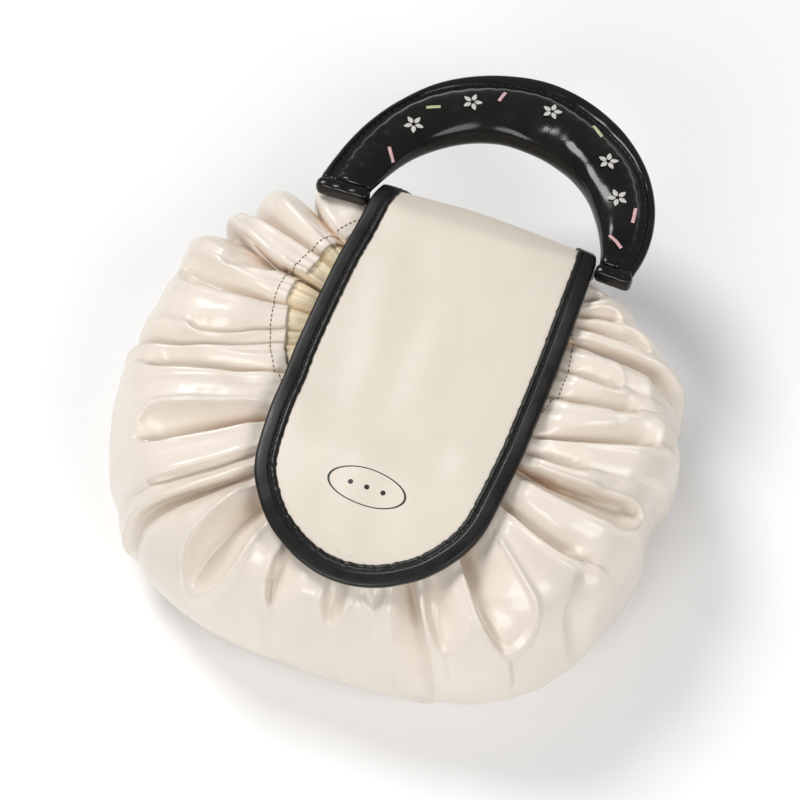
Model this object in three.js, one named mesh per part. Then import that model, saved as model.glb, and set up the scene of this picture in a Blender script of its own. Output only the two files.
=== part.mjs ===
// Round gathered cosmetic bag: a soft leather pouch lying on its flat base, with a
// drawn-in mouth, a lining collar, a sewn flap with a bound edge and a padded ring handle.
// Millimetres, +Z up, +Y to the handle side, +X to the right, origin at the base's centre.
import * as THREE from 'three';

// Driving sizes
const BAG_HEIGHT = 88;
const BODY_RADIUS = 120;
const BODY_WALL = 1.5;
const MOUTH_HALF_WIDTH = 58;
const MOUTH_HALF_DEPTH = 55;
const MOUTH_X = -3;
const MOUTH_Y = 30;
const CREASE_DEPTH = 10;
const CREASE_WIDTH_LIMIT = 0.55;
const SIDE_WAVE = 1.6;
const PIECE_GAP = 0.35;
const LINING_WALL = 1.0;
const LINING_GAP = 0.6;
const LINING_REACH = 19;
const LINING_DROP = 12;
const FLAP_LENGTH = 166;
const FLAP_HALF_WIDTH = 52.5;
const FLAP_X = 4.5;
const FLAP_WALL = 2.0;
const FLAP_CLEARANCE = 1.3;
const FOLD_SETBACK = 2.5;
const BINDING_WIDTH = 9;
const BINDING_WALL = 1.1;
const BINDING_BACK = 2.7;
const BINDING_ROUND = 1.5;
const BINDING_LIP = 0.7;
const PANEL_SEAM_INSET = 1.5;
const HANDLE_TO_FLAP = 1.95;
const HANDLE_BEHIND = 1.5;
const HANDLE_BAND = 28;
const HANDLE_RIM = 9;
const HANDLE_RIM_WALL = 3.2;
const HANDLE_PAD_HALF = 9;
const HANDLE_DROP = 8;
const END_ROLL_WIDTH = 6;
const END_ROLL_OVER = 0.5;

// Plan outline of the body: degree and share of BODY_RADIUS
const OUTLINE = [
  [0, 0.947], [18, 0.997], [30, 0.975], [42, 0.918], [58, 0.915], [90, 0.892], [125, 0.967], [150, 1.003],
  [180, 1.01], [215, 1.037], [240, 0.957], [265, 0.87], [290, 0.897], [315, 0.982], [340, 0.964],
];

// Foot of the wall: share of the height, share of the outline
const FOOT = [[0.0, 0.76], [0.03, 0.85], [0.12, 0.93], [0.24, 0.98]];

// Upper wall: share of the height, then the ring's share of the way from the mouth to the
// outline at the sides, at the front and at the back
const WALL = [
  [0.36, 1.0, 1.0, 1.0],
  [0.52, 1.0, 0.985, 0.9],
  [0.68, 0.985, 0.94, 0.73],
  [0.81, 0.94, 0.85, 0.54],
  [0.9, 0.84, 0.72, 0.37],
  [0.955, 0.68, 0.56, 0.24],
  [0.985, 0.5, 0.38, 0.15],
  [1.0, 0.32, 0.22, 0.08],
  [1.01, 0.15, 0.1, 0.03],
  [1.0, 0.0, 0.0, 0.0],
];

// Creases in order round the bag: degree at the hem, degree at the outline, reach as a
// share of the way out, share of CREASE_DEPTH, sideways lean as a share of the depth
const CREASES = [
  [146, 126, 0.85, 0.6, 0.2],
  [160, 144, 0.7, 0.8, 0.1],
  [174, 153, 0.85, 1.0, 0.25],
  [186, 168, 0.8, 0.8, 0.15],
  [197, 180, 0.78, 1.0, -0.1],
  [216, 192, 0.74, 1.0, -0.2],
  [233, 208, 0.84, 1.0, -0.25],
  [241, 219, 0.9, 0.6, -0.1],
  [247, 229, 1.04, 1.0, -0.25],
  [254, 243, 1.0, 1.0, -0.1],
  [261, 256, 0.92, 0.6, 0],
  [267, 270, 0.94, 0.6, 0],
  [273, 279, 0.9, 0.5, 0],
  [284, 294, 1.08, 1.0, 0.1],
  [295, 309, 0.93, 0.8, 0.1],
  [302, 321, 0.92, 0.7, 0.1],
  [309, 336, 0.88, 1.0, 0.25],
  [318, 350, 0.96, 1.0, 0.25],
  [327, 358, 0.6, 0.6, 0],
  [336, 368, 0.88, 1.0, 0.2],
  [350, 377, 0.82, 0.9, 0.1],
  [362, 383, 0.55, 0.7, 0],
  [376, 390, 0.85, 1.0, -0.1],
  [388, 397, 0.75, 0.7, -0.1],
  [398, 408, 0.6, 0.5, 0],
];
const COLUMNS_PER_CREASE = 4;
const COLUMNS_AT_BACK = 11;
const CREASE_SHARPNESS = 2.1;
const STEEP_LIMIT = 1.5;

// Flap edge, front of the fold: share of FLAP_LENGTH, share of FLAP_HALF_WIDTH
const FLAP_EDGE = [
  [0, 0.945], [0.2, 0.992], [0.42, 1.0], [0.565, 0.985], [0.72, 0.954], [0.81, 0.907],
  [0.876, 0.8], [0.94, 0.605], [0.983, 0.34], [1.0, 0],
];
const FLAP_STEPS = 2;

// Flap tail on the back wall: share of the bag's height, share of FLAP_HALF_WIDTH
const FLAP_TAIL = [[0.57, 0.87], [0.67, 0.87], [0.76, 0.875], [0.85, 0.88], [0.92, 0.9], [0.965, 0.93]];
const FLAP_ACROSS = 8;

// Handle: degree, then shares of HANDLE_INSIDE for the inner edge, of HANDLE_BAND for the
// padding's width, of HANDLE_RIM for the flat rim's and of HANDLE_PAD_HALF for the padding
const HANDLE = [
  [-3, 1.01, 0.324, 0.65, 0.39],
  [12, 0.953, 0.527, 0.69, 0.6],
  [27, 0.924, 0.696, 0.72, 0.82],
  [43, 0.924, 0.82, 0.76, 0.95],
  [66, 0.93, 0.898, 1.05, 1.0],
  [88, 0.939, 0.998, 1.05, 1.0],
  [105, 0.959, 0.945, 0.975, 1.0],
  [122, 0.952, 0.915, 0.83, 1.0],
  [138, 0.943, 0.845, 0.65, 0.95],
  [153, 0.943, 0.74, 0.64, 0.82],
  [168, 0.953, 0.66, 0.63, 0.6],
  [182, 0.99, 0.571, 0.72, 0.39],
];
const HANDLE_STEPS = 30;
const HANDLE_PAD_ANGLES = [40, 75, 110, 145, 180, 215, 250, 285, 320];

const rad = (degrees) => degrees * Math.PI / 180;
const mix = (a, b, t) => a + (b - a) * t;
const wrap = (degrees) => ((degrees % 360) + 360) % 360;

// Smooth value of column c of a table at place x of its first column
function smoothRow(rows, x, c) {
  const last = rows.length - 1;
  let i = 0;
  while (i < last - 1 && rows[i + 1][0] < x) i += 1;
  const slope = (k) => {
    const a = rows[Math.max(k - 1, 0)];
    const b = rows[Math.min(k + 1, last)];
    return (b[c] - a[c]) / (b[0] - a[0]);
  };
  const span = rows[i + 1][0] - rows[i][0];
  const t = (x - rows[i][0]) / span;
  const cubic = (2 * t - 3) * t * t;
  return rows[i][c] * (cubic + 1) - rows[i + 1][c] * cubic
    + span * (slope(i) * t * (1 - t) * (1 - t) - slope(i + 1) * t * t * (1 - t));
}

const OUTLINE_ROUND = [-1, 0, 1].flatMap((turn) => OUTLINE.map(([d, s]) => [d + 360 * turn, s]));

function outlineRadius(degrees) {
  return BODY_RADIUS * smoothRow(OUTLINE_ROUND, wrap(degrees), 1);
}

function mouthRadius(degrees) {
  const c = Math.cos(rad(degrees)) / MOUTH_HALF_WIDTH;
  const s = Math.sin(rad(degrees)) / MOUTH_HALF_DEPTH;
  return 1 / Math.hypot(c, s);
}

// Soft window: 1 within half of mid, 0 outside
function windowAt(degrees, mid, half, soft) {
  const away = Math.abs(wrap(degrees - mid + 180) - 180);
  return 1 / (1 + Math.exp((away - half) / soft));
}

const BACK_WINDOW = [90, 32, 6];
const FRONT_WINDOW = [265, 55, 15];
const PUFF_WINDOW = [133, 8, 4];
const PUFF_FULLNESS = 0.6;

// Share of the way from the mouth ring to the outline for a wall row; the wall puffs out
// where the gathers end beside the handle
function spreadAt(row, degrees) {
  const front = windowAt(degrees, ...FRONT_WINDOW);
  const back = windowAt(degrees, ...BACK_WINDOW);
  const share = mix(mix(row[1], row[2], front), row[3], back);
  return mix(share, share ** PUFF_FULLNESS, windowAt(degrees, ...PUFF_WINDOW));
}

// Plan point of the ring that lies the share q of the way from the mouth to the outline
function ringPoint(q, degrees) {
  const r = mix(mouthRadius(degrees), outlineRadius(degrees), q);
  const [across, deep] = [Math.cos(rad(degrees)), Math.sin(rad(degrees))];
  return [MOUTH_X * (1 - q) + r * across, MOUTH_Y * (1 - q) + r * deep];
}

// Unfolded wall at a row counted up from the foot, whole or part
const FOOT_COUNT = FOOT.length;
const ROW_COUNT = FOOT.length + WALL.length;

function basePoint(row, degrees) {
  const whole = Math.min(Math.floor(row), ROW_COUNT - 2);
  const ends = [whole, whole + 1].map((k) => {
    if (k < FOOT_COUNT) {
      const r = outlineRadius(degrees) * FOOT[k][1];
      return [r * Math.cos(rad(degrees)), r * Math.sin(rad(degrees)), FOOT[k][0] * BAG_HEIGHT];
    }
    const wall = WALL[k - FOOT_COUNT];
    const [x, y] = ringPoint(spreadAt(wall, degrees), degrees);
    return [x, y, wall[0] * BAG_HEIGHT];
  });
  return new THREE.Vector3(...ends[0]).lerp(new THREE.Vector3(...ends[1]), row - whole);
}

function baseNormal(row, degrees) {
  const turn = basePoint(row, degrees + 1).sub(basePoint(row, degrees - 1));
  const rise = basePoint(Math.min(row + 0.5, ROW_COUNT - 1), degrees)
    .sub(basePoint(Math.max(row - 0.5, 0), degrees));
  return turn.cross(rise).normalize();
}

// Ring share and degree of the ring through a plan point, 0 inside the mouth
function ringThrough(x, y) {
  let low = 0;
  let high = 1;
  let degrees = 0;
  for (let k = 0; k < 40; k += 1) {
    const q = (low + high) / 2;
    const dx = x - MOUTH_X * (1 - q);
    const dy = y - MOUTH_Y * (1 - q);
    degrees = Math.atan2(dy, dx) * 180 / Math.PI;
    const r = mix(mouthRadius(degrees), outlineRadius(degrees), q);
    if (Math.hypot(dx, dy) > r) low = q;
    else high = q;
  }
  return [low, degrees];
}

// Height of the unfolded upper wall over a plan point, level across the mouth
function baseHeight(x, y) {
  const [q, degrees] = ringThrough(x, y);
  const rows = WALL.map((row) => [spreadAt(row, degrees), row[0]]).reverse();
  let k = 0;
  while (k < rows.length - 2 && rows[k + 1][0] < q) k += 1;
  const span = Math.max(rows[k + 1][0] - rows[k][0], 1e-6);
  return BAG_HEIGHT * mix(rows[k][1], rows[k + 1][1], Math.min((q - rows[k][0]) / span, 1));
}

// Columns of the folded wall, each between two creases at a phase from 0 to 1
const COLUMNS = [];
CREASES.forEach((crease, k) => {
  const last = k === CREASES.length - 1;
  const [firstHem, firstOut, ...firstRest] = CREASES[0];
  const next = last ? [firstHem + 360, firstOut + 360, ...firstRest] : CREASES[k + 1];
  const count = last ? COLUMNS_AT_BACK : COLUMNS_PER_CREASE;
  for (let c = 0; c < count; c += 1) COLUMNS.push({ crease, next, phase: c / count, count });
});

const creaseDegree = (crease, q) => mix(crease[0], crease[1], Math.min(q, 1));

function creaseDepth(crease, q, width) {
  const [, , reach, share] = crease;
  const fade = Math.max(1 - (q / reach) ** 3, 0);
  return Math.min(share * CREASE_DEPTH, width * CREASE_WIDTH_LIMIT) * fade;
}

// Folded outer surface: the unfolded wall pressed in along the creases, with the
// direction that points out of the unfolded wall
function foldedPoint(rowIndex, column) {
  const { crease, next, phase, count } = column;
  const onWall = rowIndex >= FOOT_COUNT;
  let q = 1;
  let degrees = creaseDegree(crease, q);
  for (let k = 0; k < 4; k += 1) {
    degrees = mix(creaseDegree(crease, q), creaseDegree(next, q), phase);
    if (onWall) q = spreadAt(WALL[rowIndex - FOOT_COUNT], degrees);
  }
  const radius = mix(mouthRadius(degrees), outlineRadius(degrees), q);
  const width = rad(creaseDegree(next, q) - creaseDegree(crease, q)) * radius;
  const reachOf = (p) => (p < 0.5 ? (1 - 2 * p) ** CREASE_SHARPNESS : 0);
  const near = count > COLUMNS_PER_CREASE ? count / COLUMNS_PER_CREASE : 1;
  const here = reachOf(phase * near) * creaseDepth(crease, q, width / near);
  const there = reachOf((1 - phase) * near) * creaseDepth(next, q, width / near);
  const lean = here * crease[4] + there * next[4];
  const gathered = onWall && count === COLUMNS_PER_CREASE;
  const wave = gathered ? SIDE_WAVE * (0.5 + 0.5 * Math.cos(2 * Math.PI * phase)) : 0;
  const leaned = degrees + lean / radius * 180 / Math.PI;
  const hold = onWall ? Math.min(1, (rowIndex - FOOT_COUNT) / 2, (ROW_COUNT - 1 - rowIndex) / 3) : 0;
  const direction = baseNormal(rowIndex, leaned);
  const pressed = here + there + wave * hold;
  return { point: basePoint(rowIndex, leaned).addScaledVector(direction, -pressed), direction };
}

// Inner side of a folded skin: each point goes in along the direction of its unfolded
// skin, further where the folds on either side are steep, so that the wall stays even
function innerSide(rings, directions, wall) {
  return rings.map((ring, j) => ring.map((point, i) => {
    const rise = rings[Math.min(j + 1, rings.length - 1)][i].clone().sub(rings[Math.max(j - 1, 0)][i]);
    const direction = directions[j][i];
    const [before, after] = [ring[(i - 1 + ring.length) % ring.length], ring[(i + 1) % ring.length]];
    const steep = [point.clone().sub(before), after.clone().sub(point)].map((step) => {
      const facing = step.cross(rise).normalize().dot(direction);
      return Math.min(1 / Math.max(facing, 0.01), STEEP_LIMIT);
    });
    return point.clone().addScaledVector(direction, -wall * (steep[0] + steep[1]) / 2);
  }));
}

// Closed geometry from point lists; faces turn the same way round each quad
class Shell {
  constructor() {
    this.points = [];
    this.faces = [];
  }

  add(point) {
    this.points.push(point.x, point.y, point.z);
    return this.points.length / 3 - 1;
  }

  addAll(list) {
    return list.map((point) => this.add(point));
  }

  triangle(a, b, c, turned) {
    if (turned) this.faces.push(a, c, b);
    else this.faces.push(a, b, c);
  }

  // Band between two rings, split along the same diagonal whichever way it is turned
  band(lower, upper, closed, turned) {
    const count = closed ? lower.length : lower.length - 1;
    for (let i = 0; i < count; i += 1) {
      const n = (i + 1) % lower.length;
      this.triangle(lower[i], lower[n], upper[n], turned);
      this.triangle(lower[i], upper[n], upper[i], turned);
    }
  }

  fan(centre, ring, flip) {
    ring.forEach((point, i) => this.triangle(centre, point, ring[(i + 1) % ring.length], flip));
  }

  mesh(name, material) {
    const geometry = new THREE.BufferGeometry();
    geometry.setAttribute('position', new THREE.Float32BufferAttribute(this.points, 3));
    geometry.setIndex(this.faces);
    const mesh = new THREE.Mesh(geometry, material.clone());
    mesh.name = name;
    return mesh;
  }
}

const softMaterial = (name, color, roughness) => new THREE.MeshStandardMaterial({ name, color, roughness });
const creamLeather = softMaterial('cream_leather', 0xe9dccb, 0.35);
const blackLeather = softMaterial('black_leather', 0x0d0d0c, 0.22);
const liningCloth = softMaterial('lining_cloth', 0xe3d08f, 0.7);

const group = new THREE.Group();
group.name = 'gathered_cosmetic_bag';

// Body: one folded leather shell, open at the mouth, with a flat base
const foldedRow = (row) => COLUMNS.map((column) => foldedPoint(row, column));
const foldedRows = Array.from({ length: ROW_COUNT }, (v, row) => foldedRow(row));
const outerRings = foldedRows.map((row) => row.map((folded) => folded.point));
const outward = foldedRows.map((row) => row.map((folded) => folded.direction));
const innerRings = innerSide(outerRings, outward, BODY_WALL);
innerRings[0].forEach((point) => point.setZ(BODY_WALL));

function addBody() {
  const shell = new Shell();
  const outer = outerRings.map((ring) => shell.addAll(ring));
  const inner = innerRings.map((ring) => shell.addAll(ring));
  for (let row = 1; row < ROW_COUNT; row += 1) {
    shell.band(outer[row - 1], outer[row], true);
    shell.band(inner[row - 1], inner[row], true, true);
  }
  shell.band(outer[ROW_COUNT - 1], inner[ROW_COUNT - 1], true);
  shell.fan(shell.add(new THREE.Vector3(0, 0, 0)), outer[0], true);
  shell.fan(shell.add(new THREE.Vector3(0, 0, BODY_WALL)), inner[0], false);
  group.add(shell.mesh('bag_body', creamLeather));
}

// Lining collar: starts under the hem, runs in over the mouth and curls down
const LINING_COURSE = [[0.3, 0.02], [0.62, 0.16], [0.88, 0.5], [1.0, 1.0]];

function addLining() {
  const top = ROW_COUNT - 1;
  const below = innerSide(outerRings, outward, BODY_WALL + LINING_GAP);
  const rings = [below[top - 1], below[top]];
  const directions = [outward[top - 1], outward[top]];
  let [lastInward, lastDrop] = [0, 0];
  LINING_COURSE.forEach(([inward, drop]) => {
    const run = LINING_REACH * (inward - lastInward);
    const fall = LINING_DROP * (drop - lastDrop);
    [lastInward, lastDrop] = [inward, drop];
    const toCentre = below[top].map((point) => new THREE.Vector3(MOUTH_X - point.x, MOUTH_Y - point.y, 0)
      .normalize());
    rings.push(below[top].map((point, i) => point.clone().addScaledVector(toCentre[i], LINING_REACH * inward)
      .setZ(point.z - LINING_DROP * drop)));
    directions.push(toCentre.map((inwards) => inwards.multiplyScalar(fall).setZ(run).normalize()));
  });
  const under = innerSide(rings, directions, LINING_WALL);
  const shell = new Shell();
  const upper = rings.map((ring) => shell.addAll(ring));
  const lower = under.map((ring) => shell.addAll(ring));
  for (let j = 1; j < rings.length; j += 1) {
    shell.band(upper[j - 1], upper[j], true);
    shell.band(lower[j - 1], lower[j], true, true);
  }
  shell.band(upper[rings.length - 1], lower[rings.length - 1], true);
  shell.band(lower[0], upper[0], true);
  group.add(shell.mesh('mouth_lining', liningCloth));
}

// Flap: its middle surface runs above the unfolded wall by FLAP_RISE
const BINDING_HALF = FLAP_WALL / 2 + PIECE_GAP + BINDING_WALL;
const FLAP_RISE = BINDING_HALF + FLAP_CLEARANCE;
const FLAP_FLATNESS = 0.6;
const FLAP_PROBE = 1.5;
const FOLD_Y = MOUTH_Y + MOUTH_HALF_DEPTH - FOLD_SETBACK;
const PANEL_SETBACK = BINDING_BACK + PIECE_GAP;
const PANEL_INSET = BINDING_WIDTH + PANEL_SEAM_INSET;

// The flap lies flatter across than the wall under it
function flapHeight(x, y) {
  return mix(baseHeight(x, y), Math.max(baseHeight(FLAP_X, y), baseHeight(x, y)), FLAP_FLATNESS);
}

function flapOnTop(x, y) {
  const z = flapHeight(x, y);
  const slopeX = (flapHeight(x + FLAP_PROBE, y) - flapHeight(x - FLAP_PROBE, y)) / (2 * FLAP_PROBE);
  const slopeY = (z - flapHeight(x, y - 2 * FLAP_PROBE)) / (2 * FLAP_PROBE);
  const normal = new THREE.Vector3(-slopeX, -slopeY, 1).normalize();
  return { point: new THREE.Vector3(x, y, z).addScaledVector(normal, FLAP_RISE), normal };
}

const BACK_SEARCH = [40, 140];

// Back wall at a level, where its ring crosses x
function backWall(x, level) {
  let k = 0;
  while (k < WALL.length - 2 && WALL[k + 1][0] < level) k += 1;
  const row = FOOT_COUNT + k + (level - WALL[k][0]) / (WALL[k + 1][0] - WALL[k][0]);
  let [low, high] = BACK_SEARCH;
  for (let n = 0; n < 40; n += 1) {
    const middle = (low + high) / 2;
    if (basePoint(row, middle).x > x) low = middle;
    else high = middle;
  }
  return basePoint(row, low);
}

function flapBackPoint(x, level) {
  const wall = backWall(x, level);
  return wall.setY(mix(wall.y, Math.max(backWall(FLAP_X, level).y, wall.y), FLAP_FLATNESS));
}

function flapOnBack(x, level) {
  const across = flapBackPoint(x + FLAP_PROBE, level).sub(flapBackPoint(x - FLAP_PROBE, level));
  const step = FLAP_PROBE / BAG_HEIGHT;
  const up = flapBackPoint(x, level + step).sub(flapBackPoint(x, level - step));
  const normal = up.cross(across).normalize();
  return { point: flapBackPoint(x, level).addScaledVector(normal, FLAP_RISE), normal };
}

// Stations from the tail's end to the tip, each with the half width and its place
function flapStations() {
  const list = FLAP_TAIL.map(([level, half]) => ({ level, half: half * FLAP_HALF_WIDTH }));
  const edge = FLAP_EDGE.map(([along, half]) => [FOLD_Y - along * FLAP_LENGTH, half * FLAP_HALF_WIDTH]);
  const last = edge.length - 1;
  const at = (k) => {
    if (k < 0) return [2 * edge[0][0] - edge[1][0], edge[0][1]];
    return k > last ? [edge[2 * last - k][0], -edge[2 * last - k][1]] : edge[k];
  };
  for (let k = 0; k < last; k += 1) {
    for (let s = 0; s < FLAP_STEPS; s += 1) {
      const t = s / FLAP_STEPS;
      const blend = (c) => {
        const [a, b, d, e] = [at(k - 1)[c], at(k)[c], at(k + 1)[c], at(k + 2)[c]];
        return b + 0.5 * t * (d - a + t * (2 * a - 5 * b + 4 * d - e + t * (3 * (b - d) + e - a)));
      };
      list.push({ y: blend(0), half: blend(1) });
    }
  }
  list.push({ y: edge[last][0], half: 0 });
  return list;
}

const STATIONS = flapStations();

// Edge frame on one side of a station: edge point, direction in from the edge, normal
function edgeFrame(index, side) {
  const station = STATIONS[index];
  const x = FLAP_X + side * station.half;
  let edge;
  let inset;
  let place;
  if (station.level !== undefined) {
    edge = flapOnBack(x, station.level);
    place = [x - side * PANEL_INSET, station.level];
    inset = flapOnBack(...place);
  } else {
    const last = STATIONS.length - 1;
    const before = STATIONS[index - 1].level === undefined ? STATIONS[index - 1] : station;
    const after = index === last ? { y: before.y, half: -before.half } : STATIONS[index + 1];
    const along = new THREE.Vector2(side * (after.half - before.half), after.y - before.y).normalize();
    const across = new THREE.Vector2(side * along.y, -side * along.x);
    const inward = index === last ? new THREE.Vector2(0, 1) : across;
    place = [x + inward.x * PANEL_INSET, station.y + inward.y * PANEL_INSET];
    edge = flapOnTop(x, station.y);
    inset = flapOnTop(...place);
  }
  const inward = inset.point.clone().sub(edge.point).normalize();
  const normal = edge.normal.clone().addScaledVector(inward, -edge.normal.dot(inward)).normalize();
  return { edge: edge.point, inward, normal, place, level: station.level };
}

const LEFT = STATIONS.map((station, k) => edgeFrame(k, -1));
const RIGHT = STATIONS.map((station, k) => edgeFrame(k, 1));
const TIP = STATIONS.length - 1;

function framePoint(frame, u, v) {
  return frame.edge.clone().addScaledVector(frame.inward, u).addScaledVector(frame.normal, v);
}

function addFlapPanel() {
  const shell = new Shell();
  const half = FLAP_WALL / 2;
  const faces = [half, -half].map((v) => {
    const rungs = [];
    for (let k = 0; k < TIP; k += 1) {
      const rung = [framePoint(LEFT[k], PANEL_SETBACK, v), framePoint(LEFT[k], PANEL_INSET, v)];
      for (let c = 1; c < FLAP_ACROSS; c += 1) {
        const t = c / FLAP_ACROSS;
        const place = [0, 1].map((axis) => mix(LEFT[k].place[axis], RIGHT[k].place[axis], t));
        const at = LEFT[k].level !== undefined ? flapOnBack(...place) : flapOnTop(...place);
        rung.push(at.point.addScaledVector(at.normal, v));
      }
      rung.push(framePoint(RIGHT[k], PANEL_INSET, v), framePoint(RIGHT[k], PANEL_SETBACK, v));
      rungs.push(shell.addAll(rung));
    }
    rungs.tip = [PANEL_SETBACK, PANEL_INSET].map((u) => shell.add(framePoint(LEFT[TIP], u, v)));
    return rungs;
  });
  const [top, bottom] = faces;
  faces.forEach((rungs, side) => {
    const flip = side === 1;
    for (let k = 1; k < TIP; k += 1) shell.band(rungs[k], rungs[k - 1], false, flip);
    const lastRung = rungs[TIP - 1];
    const [rim, middle] = rungs.tip;
    const right = lastRung.length - 1;
    for (let c = 1; c < right - 1; c += 1) shell.triangle(middle, lastRung[c + 1], lastRung[c], flip);
    shell.triangle(lastRung[0], middle, lastRung[1], flip);
    shell.triangle(lastRung[0], rim, middle, flip);
    shell.triangle(rim, lastRung[right], middle, flip);
    shell.triangle(middle, lastRung[right], lastRung[right - 1], flip);
  });
  for (let c = 1; c < top[0].length; c += 1) {
    shell.triangle(bottom[0][c], bottom[0][c - 1], top[0][c - 1]);
    shell.triangle(bottom[0][c], top[0][c - 1], top[0][c]);
  }
  const [rimTop, rimBottom] = faces.map((rungs) => [
    ...rungs.map((rung) => rung[0]), rungs.tip[0], ...rungs.map((rung) => rung[rung.length - 1]).reverse(),
  ]);
  shell.band(rimBottom, rimTop, false);
  group.add(shell.mesh('flap_panel', creamLeather));
}

// Binding: a folded strip round the flap's edge, open at the inner side for the panel
function addBinding() {
  const slot = FLAP_WALL / 2 + PIECE_GAP;
  const section = [
    [BINDING_WIDTH, slot], [BINDING_WIDTH - BINDING_LIP, BINDING_HALF], [BINDING_ROUND, BINDING_HALF],
    [0, BINDING_HALF - BINDING_ROUND], [0, BINDING_ROUND - BINDING_HALF], [BINDING_ROUND, -BINDING_HALF],
    [BINDING_WIDTH, -BINDING_HALF], [BINDING_WIDTH, -slot],
    [BINDING_BACK, -slot], [BINDING_BACK, slot],
  ];
  const frames = [...LEFT, ...RIGHT.slice(0, TIP).reverse()];
  const shell = new Shell();
  const rings = frames.map((frame) => shell.addAll(section.map(([u, v]) => framePoint(frame, u, v))));
  for (let k = 1; k < rings.length; k += 1) shell.band(rings[k - 1], rings[k], true);
  const cap = (ring, flip) => {
    const cuts = [[0, 1, 9], [1, 2, 9], [2, 3, 9], [3, 4, 9], [4, 8, 9], [4, 5, 8], [5, 6, 8], [6, 7, 8]];
    cuts.forEach(([a, b, c]) => shell.triangle(ring[a], ring[b], ring[c], flip));
  };
  cap(rings[0], true);
  cap(rings[rings.length - 1], false);
  group.add(shell.mesh('flap_binding', blackLeather));
}

// Handle: padded half ring with a flat seam rim outside, sewn to the back shoulder
const HANDLE_FIRST = HANDLE[0][0];
const HANDLE_LAST = HANDLE[HANDLE.length - 1][0];
const HANDLE_X = FLAP_X;
const HANDLE_Y = MOUTH_Y + MOUTH_HALF_DEPTH + HANDLE_BEHIND;
const HANDLE_INSIDE = FLAP_HALF_WIDTH * FLAP_EDGE[0][1] + HANDLE_TO_FLAP;
const END_ROLL_HALF = HANDLE_PAD_HALF * HANDLE[0][4] + END_ROLL_OVER;
const HANDLE_SAG = 0.7;

// Inner edge, seam, outer edge and half padding at a degree round the handle
function handleSizes(degrees) {
  const [inner, band, rim, pad] = [1, 2, 3, 4].map((c) => smoothRow(HANDLE, degrees, c));
  const seam = HANDLE_INSIDE * inner + HANDLE_BAND * band;
  return { inner: HANDLE_INSIDE * inner, seam, outer: seam + HANDLE_RIM * rim, pad: HANDLE_PAD_HALF * pad };
}

function polar(radius, degrees, z) {
  const [across, deep] = [Math.cos(rad(degrees)), Math.sin(rad(degrees))];
  return new THREE.Vector3(HANDLE_X + radius * across, HANDLE_Y + radius * deep, z);
}

function endRollAxis(degrees, away) {
  const sizes = handleSizes(degrees);
  const [inner, outer] = [sizes.inner - END_ROLL_OVER, sizes.outer + END_ROLL_OVER];
  const out = new THREE.Vector3(Math.cos(rad(degrees)), Math.sin(rad(degrees)), 0);
  const along = new THREE.Vector3(-Math.sin(rad(degrees)), Math.cos(rad(degrees)), 0).multiplyScalar(away);
  const middle = polar(0, degrees, 0).addScaledVector(along, PIECE_GAP + END_ROLL_WIDTH / 2);
  return { inner, outer, out, along, middle };
}

const END_AXES = [endRollAxis(HANDLE_FIRST, -1), endRollAxis(HANDLE_LAST, 1)];

// The ends rest on the highest point of the shoulder under either roll
const REST_SHARES = [0, 0.25, 0.5, 0.75, 1];
const restHeights = END_AXES.flatMap((axis) => REST_SHARES.flatMap((t) => [-1, 1].map((side) => {
  const at = axis.middle.clone().addScaledVector(axis.out, mix(axis.inner, axis.outer, t))
    .addScaledVector(axis.along, side * END_ROLL_WIDTH / 2);
  return baseHeight(at.x, at.y);
})));
const HANDLE_END_Z = END_ROLL_HALF + PIECE_GAP + Math.max(...restHeights);

function addHandle() {
  const shell = new Shell();
  const rim = HANDLE_RIM_WALL / 2;
  const rings = [];
  for (let k = 0; k <= HANDLE_STEPS; k += 1) {
    const degrees = mix(HANDLE_FIRST, HANDLE_LAST, k / HANDLE_STEPS);
    const { inner, seam, outer, pad } = handleSizes(degrees);
    const z = HANDLE_END_Z - HANDLE_DROP * Math.max(Math.sin(rad(degrees)), 0) ** HANDLE_SAG;
    const middle = (inner + seam) / 2;
    const half = (seam - inner) / 2;
    const section = [[outer, rim], [seam, rim]];
    HANDLE_PAD_ANGLES.map(rad).forEach((a) => section.push([middle + half * Math.cos(a), pad * Math.sin(a)]));
    section.push([seam, -rim], [outer, -rim]);
    rings.push(shell.addAll(section.map(([r, v]) => polar(r, degrees, z + v))));
  }
  for (let k = 1; k < rings.length; k += 1) shell.band(rings[k], rings[k - 1], true);
  [rings[0], rings[HANDLE_STEPS]].forEach((ring, end) => {
    for (let i = 0; i < ring.length / 2 - 1; i += 1) {
      const j = ring.length - 1 - i;
      const corners = [...new Set([ring[i], ring[i + 1], ring[j - 1], ring[j]])];
      for (let c = 2; c < corners.length; c += 1) {
        shell.triangle(corners[0], corners[c - 1], corners[c], end === 1);
      }
    }
  });
  group.add(shell.mesh('handle_grip', blackLeather));
}

// End rolls: a rounded bound edge across each end of the handle
const ROLL_SECTION = [[1, 0.5], [0.6, 1], [-0.6, 1], [-1, 0.5], [-1, -0.5], [-0.6, -1], [0.6, -1], [1, -0.5]];
const ROLL_STATIONS = [[0, 0.7], [0.07, 1], [0.93, 1], [1, 0.7]];

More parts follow.
